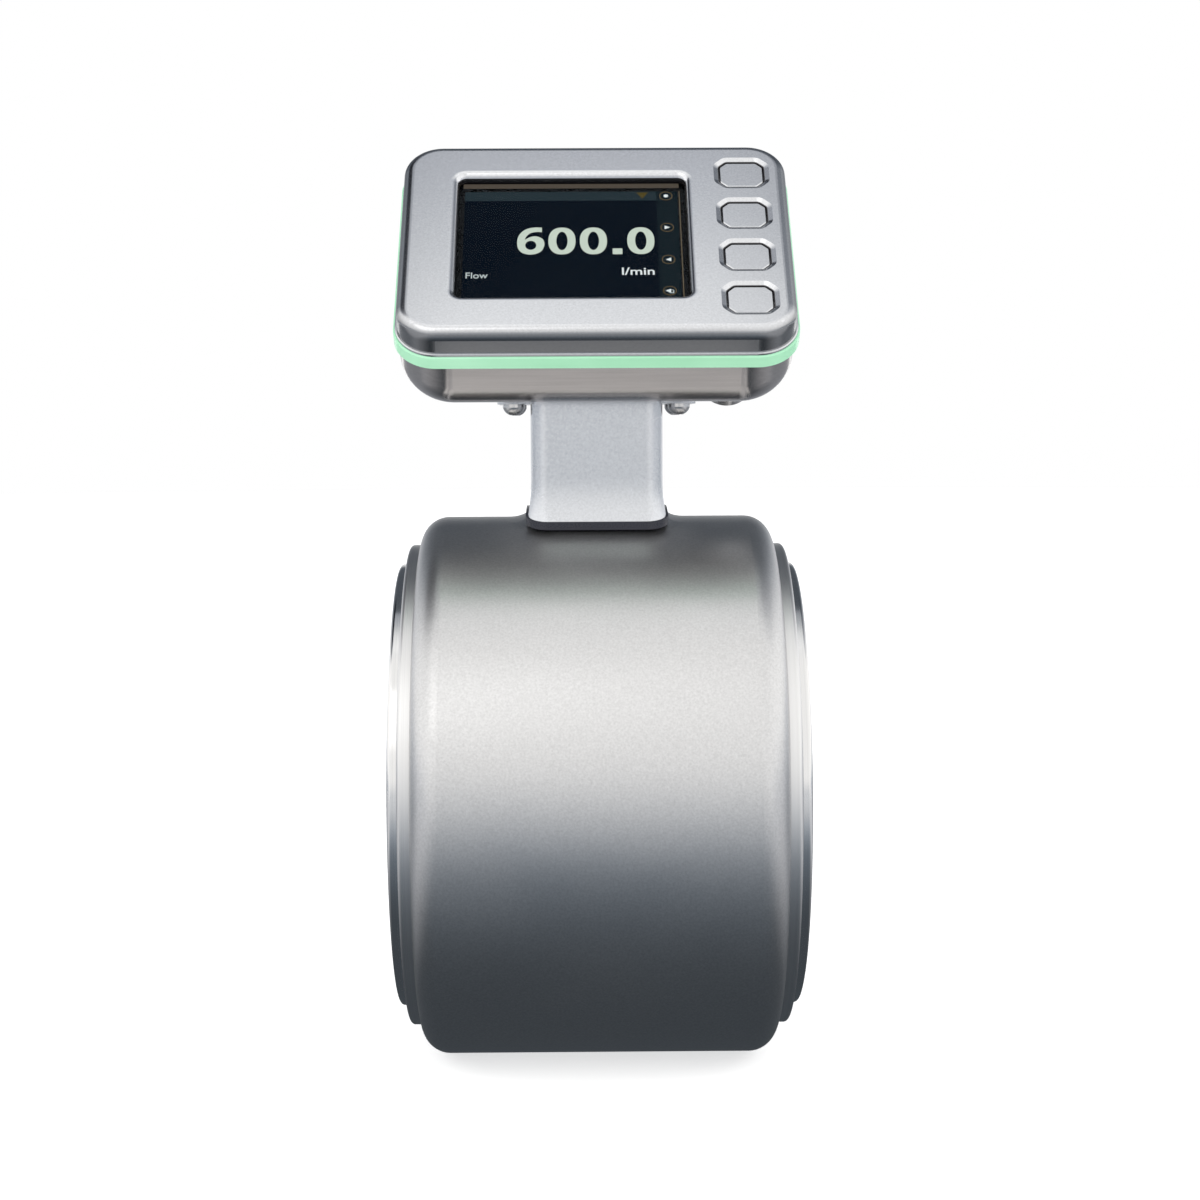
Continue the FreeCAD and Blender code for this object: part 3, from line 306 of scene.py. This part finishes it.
# Steel turned round the bore: marks follow the distance along and from the axis.
# Nearer to the middle of the bore than blasted_to, in metres, it is rough as blasted steel
def turned(name, color, rough, blasted_to=None):
    mat, tree, shader = material(name)
    at = place(tree)
    parts = split(tree, at)
    across = node(tree, "ShaderNodeCombineXYZ", {"Y": parts["Y"], "Z": parts["Z"]}).outputs[0]
    radius = vector_worked(tree, "LENGTH", across, result="Value")
    rings = node(tree, "ShaderNodeCombineXYZ", {"X": parts["X"], "Y": radius}).outputs[0]
    marks = noise(tree, rings, 5200.0, 2.0)
    smudge = noise(tree, at, 60.0, 3.0)
    spread = ranged(tree, smudge, rough - 0.03, rough + 0.05)
    depth = 0.000004
    if blasted_to is not None:
        out = worked(tree, "ABSOLUTE", parts["X"])
        grainy = ranged(tree, out, 1.0, 0.0, blasted_to, blasted_to + 0.0002)
        spread = node(tree, "ShaderNodeMix", {"Factor": grainy, 2: spread, 3: 0.36}).outputs[0]
        depth = 0.000001
    shader.inputs["Metallic"].default_value = 1.0
    link = tree.links.new
    link(tinted(tree, marks, shade(color, 0.94), shade(color, 1.05)), shader.inputs["Base Color"])
    link(spread, shader.inputs["Roughness"])
    link(bump(tree, marks, depth), shader.inputs["Normal"])
    return mat


ALONG_X = (40.0, 1400.0, 1400.0)
ALL_WAYS = (900.0, 900.0, 900.0)


# Metal polished along X, or evenly all ways
def polished(name, color, rough, stretch=ALONG_X):
    mat, tree, shader = material(name)
    at = place(tree)
    lines = noise(tree, vector_worked(tree, "MULTIPLY", at, stretch), 1.0, 3.0)
    smudge = noise(tree, at, 45.0, 3.0)
    shader.inputs["Metallic"].default_value = 1.0
    link = tree.links.new
    link(tinted(tree, lines, shade(color, 0.95), shade(color, 1.05)), shader.inputs["Base Color"])
    link(ranged(tree, smudge, rough - 0.03, rough + 0.05), shader.inputs["Roughness"])
    link(bump(tree, lines, 0.000002), shader.inputs["Normal"])
    return mat


# Plastic or rubber with a fine moulded grain
def moulded(name, color, rough, grain=0.0004, depth=0.00001, sheen=0.0, gloss=0.5, cloudy=0.1):
    mat, tree, shader = material(name)
    at = place(tree)
    fine = noise(tree, at, 1 / grain, 3.0)
    cloud = noise(tree, at, 90.0, 2.0)
    link = tree.links.new
    tint = tinted(tree, cloud, shade(color, 1 - cloudy), shade(color, 1 + cloudy))
    link(tint, shader.inputs["Base Color"])
    link(ranged(tree, fine, rough - 0.06, rough + 0.06), shader.inputs["Roughness"])
    link(bump(tree, fine, depth), shader.inputs["Normal"])
    shader.inputs["Sheen Weight"].default_value = sheen
    shader.inputs["Specular IOR Level"].default_value = gloss
    return mat


def circuit_board():
    mat, tree, shader = material("circuit_board")
    at = place(tree)
    cells = node(tree, "ShaderNodeTexVoronoi", {"Vector": at, "Scale": 420.0}, distance="CHEBYCHEV")
    tracks = ranged(tree, cells.outputs["Distance"], 0.0, 1.0, 0.25, 0.3)
    link = tree.links.new
    link(tinted(tree, tracks, (0.01, 0.10, 0.045), (0.02, 0.16, 0.07)), shader.inputs["Base Color"])
    link(bump(tree, tracks, 0.00003), shader.inputs["Normal"])
    shader.inputs["Roughness"].default_value = 0.35
    return mat


def copper_winding():
    mat, tree, shader = material("copper_winding")
    at = place(tree)
    wave = node(tree, "ShaderNodeTexWave", {"Vector": at, "Scale": 420.0}, bands_direction="Z")
    turns = wave.outputs["Fac"]
    link = tree.links.new
    link(tinted(tree, turns, (0.35, 0.10, 0.03), (0.62, 0.24, 0.09)), shader.inputs["Base Color"])
    link(bump(tree, turns, 0.00015), shader.inputs["Normal"])
    shader.inputs["Metallic"].default_value = 0.9
    shader.inputs["Roughness"].default_value = 0.3
    return mat


# Light guide lit from behind by a row of small lamps, so it is a little uneven
def light_guide():
    mat, tree, shader = material("light_guide")
    at = place(tree)
    spots = noise(tree, at, 46.0, 1.0)
    link = tree.links.new
    link(tinted(tree, spots, (0.27, 0.52, 0.35), (0.33, 0.60, 0.42)), shader.inputs["Base Color"])
    link(tinted(tree, spots, (0.16, 0.42, 0.24), (0.26, 0.50, 0.33)), shader.inputs["Emission Color"])
    shader.inputs["Emission Strength"].default_value = 0.75
    shader.inputs["Roughness"].default_value = 0.32
    shader.inputs["Coat Weight"].default_value = 0.25
    return mat


def clear_glass():
    mat, tree, shader = material("clear_glass")
    smudge = noise(tree, place(tree), 55.0, 4.0)
    tree.links.new(ranged(tree, smudge, 0.015, 0.05), shader.inputs["Roughness"])
    shader.inputs["Base Color"].default_value = (0.94, 0.96, 0.97, 1)
    shader.inputs["Transmission Weight"].default_value = 1.0
    shader.inputs["IOR"].default_value = 1.08
    return mat


# Something on the screen that gives its own light
def lit(name, color):
    mat, tree, shader = material(name)
    dots = noise(tree, place(tree), 5200.0, 0.0)
    glow = tinted(tree, dots, shade(color, 0.93), shade(color, 1.04))
    tree.links.new(glow, shader.inputs["Emission Color"])
    shader.inputs["Base Color"].default_value = (0.001, 0.001, 0.001, 1)
    shader.inputs["Roughness"].default_value = 0.4
    shader.inputs["Specular IOR Level"].default_value = 0.0
    shader.inputs["Emission Strength"].default_value = 1.0
    return mat


MATERIALS = {
    "drum_steel": blasted("drum_steel", (0.575, 0.575, 0.578), 0.345, 0.0006, 0.00002, 0.10),
    "neck_steel": blasted("neck_steel", (0.585, 0.60, 0.625), 0.27, 0.0006, 0.00001),
    "front_steel": cover_steel("front_steel", (0.63, 0.64, 0.66), 0.19),
    "key_steel": blasted("key_steel", (0.62, 0.63, 0.65), 0.22, 0.0005, 0.000008),
    "ring_steel": turned("ring_steel", (0.68, 0.68, 0.68), 0.13, 0.0513),
    "plug_steel": turned("plug_steel", (0.62, 0.61, 0.60), 0.20),
    "back_steel": polished("back_steel", (0.51, 0.485, 0.475), 0.17),
    "screw_steel": polished("screw_steel", (0.62, 0.61, 0.60), 0.18, ALL_WAYS),
    "tube_steel": polished("tube_steel", (0.58, 0.58, 0.58), 0.28),
    "electrode_steel": polished("electrode_steel", (0.56, 0.55, 0.53), 0.22, ALL_WAYS),
    "core_iron": moulded("core_iron", (0.16, 0.16, 0.17), 0.5, 0.001, 0.00003),
    "coil_copper": copper_winding(),
    "liner_plastic": moulded(
        "liner_plastic", (0.84, 0.83, 0.79), 0.34, 0.001, 0.000004, cloudy=0.012),
    "seal_rubber": moulded("seal_rubber", (0.035, 0.035, 0.037), 0.55, 0.0003, 0.00001, 0.1),
    "dark_rubber": moulded("dark_rubber", (0.014, 0.015, 0.026), 0.28, 0.0003, 0.000004),
    "wire_plastic": moulded("wire_plastic", (0.10, 0.10, 0.11), 0.4),
    "light_green": light_guide(),
    "board_plastic": circuit_board(),
    "frame_plastic": moulded("frame_plastic", (0.03, 0.03, 0.03), 0.5),
    "window_black": moulded("window_black", (0.005, 0.005, 0.006), 0.4, gloss=0.1),
    "window_glass": clear_glass(),
    "display_black": moulded(
        "display_black", (0.004, 0.005, 0.006), 0.3, 0.001, 0.000001, gloss=0.1),
    "insert_plastic": moulded("insert_plastic", (0.02, 0.02, 0.021), 0.45),
    "pin_brass": polished("pin_brass", (0.86, 0.62, 0.25), 0.2, ALL_WAYS),
}


def dress_nodes():
    slots = {part["node"]: part["material_slot"] for part in frame["record"]["subparts"]}
    for name, thing in NODES.items():
        for held in thing.material_slots:
            held.material = MATERIALS[slots[name]]


# Pieces: all that the scene adds is on the meter's own body
def add(name, mesh, mat, body=BODY):
    thing = linked(name, mesh)
    mesh.materials.clear()
    mesh.materials.append(mat)
    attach(thing, body)
    return thing


# The mesh that an object makes with its modifiers or as a curve; the object itself is removed
def mesh_made_by(thing):
    bpy.context.view_layer.update()
    drawn = thing.evaluated_get(bpy.context.evaluated_depsgraph_get())
    mesh = bpy.data.meshes.new_from_object(drawn)
    bpy.data.objects.remove(thing)
    return mesh


def linked(name, data):
    thing = bpy.data.objects.new(name, data)
    bpy.context.scene.collection.objects.link(thing)
    return thing


def on_screen(x, y, z):
    return HEAD @ (Vector((x, y, SCREEN_Z + 3 * INK_T + z)) * MM)


def rounded(left, right, low, high, radius, steps=6):
    centres = [
        (right - radius, high - radius, 0),
        (left + radius, high - radius, 90),
        (left + radius, low + radius, 180),
        (right - radius, low + radius, 270),
    ]
    points = []
    for x, y, start in centres:
        for i in range(steps + 1):
            angle = math.radians(start + 90 * i / steps)
            points.append((x + radius * math.cos(angle), y + radius * math.sin(angle)))
    return points


def round_points(x, y, radius, count=40):
    turn = 2 * math.pi / count
    return [(x + radius * math.cos(turn * i), y + radius * math.sin(turn * i)) for i in range(count)]


# A flat plate on the head from one outline, or from two joined as a frame
def flat(name, outline, low, high, mat, hole=None):
    form = bmesh.new()
    rings = []
    for points in (outline, hole):
        if points is None:
            continue
        for z in (low, high):
            rings.append([form.verts.new(HEAD @ (Vector((x, y, z)) * MM)) for x, y in points])
    count = len(outline)
    pairs = [(0, 1)]
    if hole is None:
        form.faces.new(rings[1])
        form.faces.new(list(reversed(rings[0])))
    else:
        pairs = [(0, 1), (3, 2), (1, 3), (2, 0)]
    for a, b in pairs:
        for i in range(count):
            j = (i + 1) % count
            form.faces.new((rings[a][i], rings[a][j], rings[b][j], rings[b][i]))
    bmesh.ops.recalc_face_normals(form, faces=form.faces)
    mesh = bpy.data.meshes.new(name)
    form.to_mesh(mesh)
    form.free()
    return add(name, mesh, mat)


# A flat drawing on the screen from closed outlines; an outline inside another is a hole
def inked(name, outlines, mat):
    curve = bpy.data.curves.new(name + "_curve", "CURVE")
    curve.dimensions = "2D"
    curve.fill_mode = "BOTH"
    curve.extrude = INK_T / 2
    for points in outlines:
        spline = curve.splines.new("POLY")
        spline.points.add(len(points) - 1)
        for point, (x, y) in zip(spline.points, points):
            point.co = (x, y, 0, 1)
        spline.use_cyclic_u = True
    mesh = mesh_made_by(linked(name + "_maker", curve))
    for vertex in mesh.vertices:
        vertex.co = on_screen(*vertex.co)
    add(name, mesh, mat)


def oval(x, y, half_x, half_y, power=2.0, count=72):
    points = []
    for i in range(count):
        c = math.cos(2 * math.pi * i / count)
        s = math.sin(2 * math.pi * i / count)
        u = math.copysign(abs(c) ** (2 / power), c)
        v = math.copysign(abs(s) ** (2 / power), s)
        points.append((x + half_x * u, y + half_y * v))
    return points


# A closed curve through the points, with those numbered in sharp left as corners
def smoothed(points, sharp, steps=5):
    out = []
    count = len(points)
    for i in range(count):
        a, b, c, d = [Vector(points[(i + k) % count]) for k in (-1, 0, 1, 2)]
        if i in sharp:
            out.append(tuple(b))
            continue
        if (i + 1) % count in sharp:
            d = c
        if (i - 1) % count in sharp:
            a = b
        for k in range(steps):
            t = k / steps
            bend = (2 * a - 5 * b + 4 * c - d) * t * t + (3 * b - a - 3 * c + d) * t * t * t
            out.append(tuple((2 * b + (c - a) * t + bend) / 2))
    return out


def figure_zero(x):
    low, high = DIGITS[2], DIGITS[3]
    half_x = FIGURE_WIDE / 2
    half_y = (high - low) / 2
    middle = (x + half_x, (low + high) / 2)
    outer = oval(*middle, half_x, half_y, ZERO_POWER)
    return [outer, oval(*middle, half_x * ZERO_HOLE[0], half_y * ZERO_HOLE[1])]


def figure_six(x):
    low, high = DIGITS[2], DIGITS[3]
    wide = FIGURE_WIDE / SIX_SIZE[0]
    tall = (high - low) / SIX_SIZE[1]
    edge = [(x + u * wide, high - v * tall) for u, v in SIX_EDGE]
    u, v, half_u, half_v = SIX_HOLE
    hole = oval(x + u * wide, high - v * tall, half_u * wide, half_v * tall)
    return [smoothed(edge, SIX_CORNERS), hole]


def number(mat):
    left = DIGITS[0]
    low = DIGITS[2]
    outlines = figure_six(left + FIGURE_STARTS[0])
    for start in FIGURE_STARTS[1:]:
        outlines += figure_zero(left + start)
    x0, x1, y0, y1 = POINT
    outlines.append(rounded(left + x0, left + x1, low + y0, low + y1, 0.15, 2))
    inked("screen_number", outlines, mat)


# Characters that fill a box on the screen
def words(name, text, box, mat, weight):
    curve = bpy.data.curves.new(name + "_curve", "FONT")
    curve.body = text
    curve.size = 10.0
    curve.offset = weight
    curve.extrude = INK_T / 2
    mesh = mesh_made_by(linked(name + "_maker", curve))
    xs = [v.co.x for v in mesh.vertices]
    ys = [v.co.y for v in mesh.vertices]
    left, right, low, high = box
    wide = (right - left) / (max(xs) - min(xs))
    tall = (high - low) / (max(ys) - min(ys))
    for vertex in mesh.vertices:
        x = left + (vertex.co.x - min(xs)) * wide
        y = low + (vertex.co.y - min(ys)) * tall
        vertex.co = on_screen(x, y, vertex.co.z)
    add(name, mesh, mat)


def beside_icon(box):
    left, right, low, high = box
    return rounded(ICON_X + left, ICON_X + right, ICON_Y[3] + low, ICON_Y[3] + high, 0.1, 1)


def screen():
    back = lit("screen_back", (0.0012, 0.0038, 0.0088))
    bar = lit("screen_bar", (0.018, 0.031, 0.038))
    side = lit("screen_side", (0.0060, 0.0125, 0.0170))
    white = lit("screen_white", (0.60, 0.68, 0.58))
    gold = lit("screen_gold", (0.15, 0.12, 0.08))
    brown = lit("screen_brown", (0.085, 0.070, 0.055))
    bright = lit("screen_bright", (0.80, 0.84, 0.84))
    dim = lit("screen_dim", (0.52, 0.58, 0.58))
    amber = lit("screen_amber", (0.13, 0.095, 0.048))
    faint = lit("screen_faint", (0.075, 0.058, 0.015))
    left, right, low, high = ACTIVE
    base = SCREEN_Z
    flat("screen_back", rounded(left, right, low, high, 0.1), base, base + INK_T, back)
    top = base + 2 * INK_T
    flat("screen_status", rounded(left, SIDE_LEFT, STATUS_LOW, high, 0.1), base, top, bar)
    flat("screen_side", rounded(SIDE_LEFT, right, low, high, 0.1), base, top, side)
    number(white)
    line = rounded(*RIGHT_LINE, low - 0.2, high + 0.2, 0.05, 1)
    flat("screen_right_line", line, base, top, gold)
    strip = rounded(left - 0.5, right + 0.5, *TOP_STRIP, 0.1, 1)
    flat("screen_top_strip", strip, base, top, brown)
    words("screen_unit", "l/min", UNIT, bright, 0.12)
    words("screen_caption", "Flow", CAPTION, dim, 0.08)
    top = base + 3 * INK_T
    over = top + INK_T
    x, y = WARNING
    u, v = WARNING_HALF
    flat("screen_warning", [(x - u, y + v), (x, y - v), (x + u, y + v)], base, over, faint)
    for i, y in enumerate(ICON_Y):
        ring = round_points(ICON_X, y, ICON_R)
        inner = round_points(ICON_X, y, ICON_R - ICON_LINE)
        flat("icon_ring_%d" % i, ring, top, over, amber, inner)
    flat("icon_dot", round_points(ICON_X, ICON_Y[0], DOT_R), top, over, bright)
    arrows = (("icon_right", 0, 1, 1), ("icon_left", 0, -1, 2), ("icon_back", -0.4, -1, 3))
    for name, shift, way, row in arrows:
        arrow = [(ICON_X + shift + way * u, ICON_Y[row] + v) for u, v in ARROW]
        flat(name, arrow, top, over, bright)
    hook = beside_icon(HOOK)
    flat("icon_hook", hook, top, over, dim, beside_icon(HOOK_INSIDE))


# The clear pane keeps the solid's form and leaves a thin gap over the screen
def pane():
    low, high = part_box("window_glass")
    half_x = (high.x - low.x) / 2 / MM
    middle_x = (high.x + low.x) / 2 / MM
    run = (high.y - low.y) / MM
    half_y = (run / math.sin(HEAD_LEAN) - PANE_T - PANE_PLAY) / 2
    middle = HEAD.inverted() @ ((Vector(low) + Vector(high)) / 2)
    y = middle.y / MM
    outline = rounded(middle_x - half_x, middle_x + half_x, y - half_y, y + half_y, PANE_CORNER)
    glass = MATERIALS["window_glass"]
    made = flat("window_pane", outline, GLASS_TOP - PANE_T, GLASS_TOP, glass)
    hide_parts("window_glass")


# Half of an end ring's section; a short land beside each arc keeps the flat faces flat when shaded
def ring_outline():
    outline = []
    for x, r, edge in RING:
        if not edge:
            outline.append((x, r))
            continue
        outline.append((x - edge - RING_LAND, r))
        for i in range(RING_ARC_STEPS + 1):
            angle = math.radians(90 - 90 * i / RING_ARC_STEPS)
            u = edge * math.cos(angle)
            v = edge * math.sin(angle)
            outline.append((x - edge + u, r - edge + v))
        outline.append((x, r - edge - RING_LAND))
    return outline


def ring_form(way):
    outline = ring_outline()
    form = bmesh.new()
    rows = []
    for k in range(RING_TURNS):
        angle = 2 * math.pi * k / RING_TURNS
        c = math.cos(angle) * MM
        s = math.sin(angle) * MM
        rows.append([form.verts.new((way * x * MM, r * c, r * s)) for x, r in outline])
    for k in range(RING_TURNS):
        row = rows[k]
        after = rows[(k + 1) % RING_TURNS]
        for i in range(len(outline)):
            j = (i + 1) % len(outline)
            form.faces.new((row[i], row[j], after[j], after[i]))
    bmesh.ops.recalc_face_normals(form, faces=form.faces)
    return form


def ring_holes(way):
    form = bmesh.new()
    size = {"radius1": HOLE_R * MM, "radius2": HOLE_R * MM, "depth": HOLE_CUT * MM}
    for i in range(HOLE_COUNT):
        angle = 2 * math.pi / HOLE_COUNT * (i + 0.5)
        y = HOLE_CIRCLE_R * math.cos(angle)
        z = HOLE_CIRCLE_R * math.sin(angle)
        at = Vector((way * (HOLE_FROM + HOLE_CUT / 2), y, z)) * MM
        spot = Matrix.Translation(at) @ Matrix.Rotation(math.radians(90), 4, "Y")
        bmesh.ops.create_cone(form, cap_ends=True, segments=HOLE_STEPS, matrix=spot, **size)
    return form


# The end rings keep their form, turned in finer steps so their rounded edges are smooth
def end_ring(name, way):
    things = []
    for each, form in (("_form", ring_form(way)), ("_holes", ring_holes(way))):
        mesh = bpy.data.meshes.new(name + each)
        form.to_mesh(mesh)
        form.free()
        things.append(linked(name + each, mesh))
    ring, holes = things
    cut = ring.modifiers.new("holes", "BOOLEAN")
    cut.operation = "DIFFERENCE"
    cut.solver = "EXACT"
    cut.object = holes
    mesh = mesh_made_by(ring)
    bpy.data.objects.remove(holes)
    mesh.shade_smooth()
    mesh.set_sharp_from_angle(angle=SHARP_FROM)
    made = add(name + "_turned", mesh, MATERIALS["ring_steel"])
    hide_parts(name)


# Stage: a pale floor, two cards that only mirror-like surfaces see, a surround and a soft lamp
FLOOR_R = 6.0
FLOOR_LIFT = 0.65
FLOOR_LEVEL = CAD_BOX[0][2]


# Rays that see the stage as a picture rather than take light from it
def seen_by(tree, *rays):
    path = node(tree, "ShaderNodeLightPath").outputs
    seen = path[rays[0]]
    for ray in rays[1:]:
        seen = worked(tree, "MAXIMUM", seen, path[ray])
    return seen


def floor():
    mat, tree, shader = material("pale_floor")
    shader.inputs["Base Color"].default_value = (0.90, 0.90, 0.90, 1)
    shader.inputs["Roughness"].default_value = 0.9
    seen = seen_by(tree, "Is Camera Ray", "Is Glossy Ray", "Is Transmission Ray")
    tree.links.new(worked(tree, "MULTIPLY", seen, FLOOR_LIFT), shader.inputs["Emission Strength"])
    shader.inputs["Emission Color"].default_value = (1, 1, 1, 1)
    where = (0, 0, FLOOR_LEVEL)
    bpy.ops.mesh.primitive_circle_add(vertices=96, radius=FLOOR_R, fill_type="NGON", location=where)
    ground = bpy.context.object
    ground.name = "floor"
    ground.data.materials.append(mat)


# A card with its light given across its depth, in one way near the middle and another past it
def card(name, box, stops, sides, turn):
    left, right, near, far, height = box
    outline = [(left, near), (right, near), (right, far), (left, far)]
    corners = [(x, y, height) for x, y in outline]
    mesh = bpy.data.meshes.new(name)
    mesh.from_pydata(corners, [], [tuple(range(len(corners)))])
    mat, tree, shader = material(name)
    spot = split(tree, place(tree))
    off = worked(tree, "ABSOLUTE", spot["X"])
    middle = ramp(tree, spot["Y"], stops, near, far)
    side = ramp(tree, spot["Y"], sides, near, far)
    light = blended(tree, ranged(tree, off, 0.0, 1.0, *turn), middle, side)
    tree.links.new(light, shader.inputs["Emission Color"])
    shader.inputs["Base Color"].default_value = (0, 0, 0, 1)
    shader.inputs["Specular IOR Level"].default_value = 0.0
    shader.inputs["Roughness"].default_value = 1.0
    shader.inputs["Emission Strength"].default_value = 1.0
    mesh.materials.append(mat)
    made = linked(name, mesh)
    made.visible_camera = False
    made.visible_diffuse = False
    made.visible_shadow = False
    made.visible_transmission = False


# Each card: left, right, near, far and height in metres, and where its middle turns to its sides
FLOOR_CARD_BOX = (-3.0, 3.0, -5.0, 1.5, FLOOR_LEVEL + 0.0004)
FLOOR_CARD_TURN = (0.09, 0.24)
FACE_CARD_BOX = (-0.14, 0.14, -0.12, 0.07, 0.42)
FACE_CARD_TURN = (0.05, 0.11)
FLOOR_CARD = [
    (-5.00, (0.66, 0.685, 0.72)),
    (-1.20, (0.72, 0.74, 0.77)),
    (-0.86, (0.74, 0.76, 0.79)),
    (-0.53, (0.64, 0.66, 0.69)),
    (-0.35, (0.50, 0.535, 0.58)),
    (-0.245, (0.315, 0.353, 0.40)),
    (-0.18, (0.185, 0.215, 0.25)),
    (-0.14, (0.145, 0.17, 0.20)),
    (-0.10, (0.092, 0.108, 0.127)),
    (-0.07, (0.066, 0.077, 0.089)),
    (0.06, (0.058, 0.067, 0.077)),
    (0.20, (0.20, 0.215, 0.24)),
    (0.60, (0.42, 0.44, 0.47)),
    (1.50, (0.60, 0.61, 0.63)),
]
FLOOR_SIDES = [
    (-5.00, (0.70, 0.72, 0.75)),
    (-1.20, (0.90, 0.91, 0.93)),
    (-0.20, (0.82, 0.83, 0.86)),
    (-0.02, (0.66, 0.67, 0.70)),
    (0.08, (0.32, 0.34, 0.37)),
    (0.60, (0.36, 0.38, 0.41)),
    (1.50, (0.60, 0.61, 0.63)),
]
FACE_CARD = [
    (-0.12, (1.45, 1.44, 1.42)),
    (-0.04, (1.22, 1.22, 1.21)),
    (0.00, (0.82, 0.84, 0.87)),
    (0.04, (0.56, 0.58, 0.63)),
    (0.07, (0.50, 0.52, 0.57)),
]
FACE_SIDES = [
    (-0.12, (1.20, 1.20, 1.20)),
    (-0.04, (0.85, 0.86, 0.88)),
    (0.00, (0.45, 0.465, 0.50)),
    (0.07, (0.38, 0.40, 0.44)),
]


# Light from each direction. A dark patch lies up and behind, by the cosine of the angle from its
# middle
DARK_AT = (-0.04, 0.69, 0.72)
PATCH = [
    (-1.00, (1.00, 0.99, 0.975)),
    (0.50, (1.00, 0.99, 0.975)),
    (0.60, (0.88, 0.885, 0.89)),
    (0.69, (0.50, 0.51, 0.53)),
    (0.76, (0.28, 0.30, 0.33)),
    (0.83, (0.130, 0.145, 0.165)),
    (0.92, (0.080, 0.090, 0.105)),
    (1.00, (0.075, 0.085, 0.100)),
]
# Two smaller patches high on the left and right
LEFT_AT = (-0.46, 0.21, 0.86)
LEFT_PATCH = [
    (-1.00, (1, 1, 1)),
    (0.925, (1, 1, 1)),
    (0.95, (0.30, 0.31, 0.34)),
    (0.97, (0.06, 0.065, 0.08)),
    (1.00, (0.06, 0.065, 0.08)),
]
RIGHT_AT = (0.46, 0.21, 0.86)
RIGHT_PATCH = [
    (-1.00, (1, 1, 1)),
    (0.91, (1, 1, 1)),
    (0.96, (0.62, 0.63, 0.65)),
    (1.00, (0.60, 0.61, 0.63)),
]
# Level with the eye the light dips: by how far to a side
LEVEL = [
    (0.00, (0.64, 0.665, 0.70)),
    (0.15, (0.66, 0.685, 0.72)),
    (0.30, (0.92, 0.92, 0.93)),
    (0.60, (0.84, 0.85, 0.88)),
    (0.85, (0.34, 0.375, 0.43)),
    (1.00, (0.34, 0.375, 0.43)),
]
LEVEL_HEIGHT = (0.03, 0.15)
# The level of the surround in the middle, how much it gains to the sides, and where the back is
LIGHT_LEVEL = 1.20
LIGHT_GAIN = 0.30
BACK_FROM = (0.95, 0.995)


def surround():
    world = bpy.data.worlds.new("studio")
    bpy.context.scene.world = world
    world.use_nodes = True
    tree = world.node_tree
    tree.nodes.clear()
    way = node(tree, "ShaderNodeTexCoord").outputs["Generated"]
    parts = split(tree, way)
    off = worked(tree, "ABSOLUTE", parts["X"])
    high = ranged(tree, parts["Z"], 0.0, 1.0, *LEVEL_HEIGHT)
    shares = blended(tree, high, ramp(tree, off, LEVEL, 0.0, 1.0), (1, 1, 1, 1))
    for middle, stops in ((DARK_AT, PATCH), (LEFT_AT, LEFT_PATCH), (RIGHT_AT, RIGHT_PATCH)):
        near = vector_worked(tree, "DOT_PRODUCT", way, middle, result="Value")
        shares = vector_worked(tree, "MULTIPLY", shares, ramp(tree, near, stops))
    level = worked(tree, "MULTIPLY_ADD", off, LIGHT_GAIN, LIGHT_LEVEL)
    around = node(tree, "ShaderNodeVectorMath", {0: shares, "Scale": level}, operation="SCALE")
    back = ranged(tree, parts["Y"], 0.0, 1.0, *BACK_FROM)
    mirrored = worked(tree, "MULTIPLY", seen_by(tree, "Is Glossy Ray", "Is Transmission Ray"), back)
    shown = worked(tree, "MAXIMUM", mirrored, seen_by(tree, "Is Camera Ray"))
    color = blended(tree, shown, around.outputs[0], (1, 1, 1, 1))
    light = node(tree, "ShaderNodeBackground", {"Color": color, "Strength": 1.0})
    out = node(tree, "ShaderNodeOutputWorld")
    tree.links.new(light.outputs["Background"], out.inputs["Surface"])


KEY_LAMP_AT = (-0.5, -1.2, 1.1)
KEY_LAMP_AIM = (0, 0, 0.06)
KEY_LAMP_SIDE = 0.9
KEY_LAMP_WATTS = 1.5
KEY_LAMP_COLOR = (1.0, 0.985, 0.96)


def key_lamp():
    data = bpy.data.lights.new("key_lamp", "AREA")
    data.shape = "SQUARE"
    data.size = KEY_LAMP_SIDE
    data.energy = KEY_LAMP_WATTS
    data.color = KEY_LAMP_COLOR
    thing = linked("key_lamp", data)
    thing.location = KEY_LAMP_AT
    ray = Vector(KEY_LAMP_AIM) - Vector(KEY_LAMP_AT)
    thing.rotation_euler = ray.to_track_quat("-Z", "Y").to_euler()


def camera():
    data = bpy.data.cameras.new("camera")
    data.sensor_width = SENSOR
    data.lens = PHOTO_FOCAL * SENSOR / PHOTO_SIDE
    data.clip_start = 0.01
    data.clip_end = 50
    thing = linked("camera", data)
    turn = Matrix.Rotation(math.radians(CAMERA_TURN), 4, "Z")
    tip = Matrix.Rotation(math.radians(90 + CAMERA_PITCH), 4, "X")
    roll = Matrix.Rotation(math.radians(-CAMERA_ROLL), 4, "Z")
    thing.matrix_world = Matrix.Translation(CAMERA_AT) @ turn @ tip @ roll
    bpy.context.scene.camera = thing


dress_nodes()
screen()
pane()
end_ring("end_ring_right", 1)
end_ring("end_ring_left", -1)
floor()
card("floor_card", FLOOR_CARD_BOX, FLOOR_CARD, FLOOR_SIDES, FLOOR_CARD_TURN)
card("face_card", FACE_CARD_BOX, FACE_CARD, FACE_SIDES, FACE_CARD_TURN)
surround()
key_lamp()
camera()
bpy.context.scene.view_settings.view_transform = "Standard"
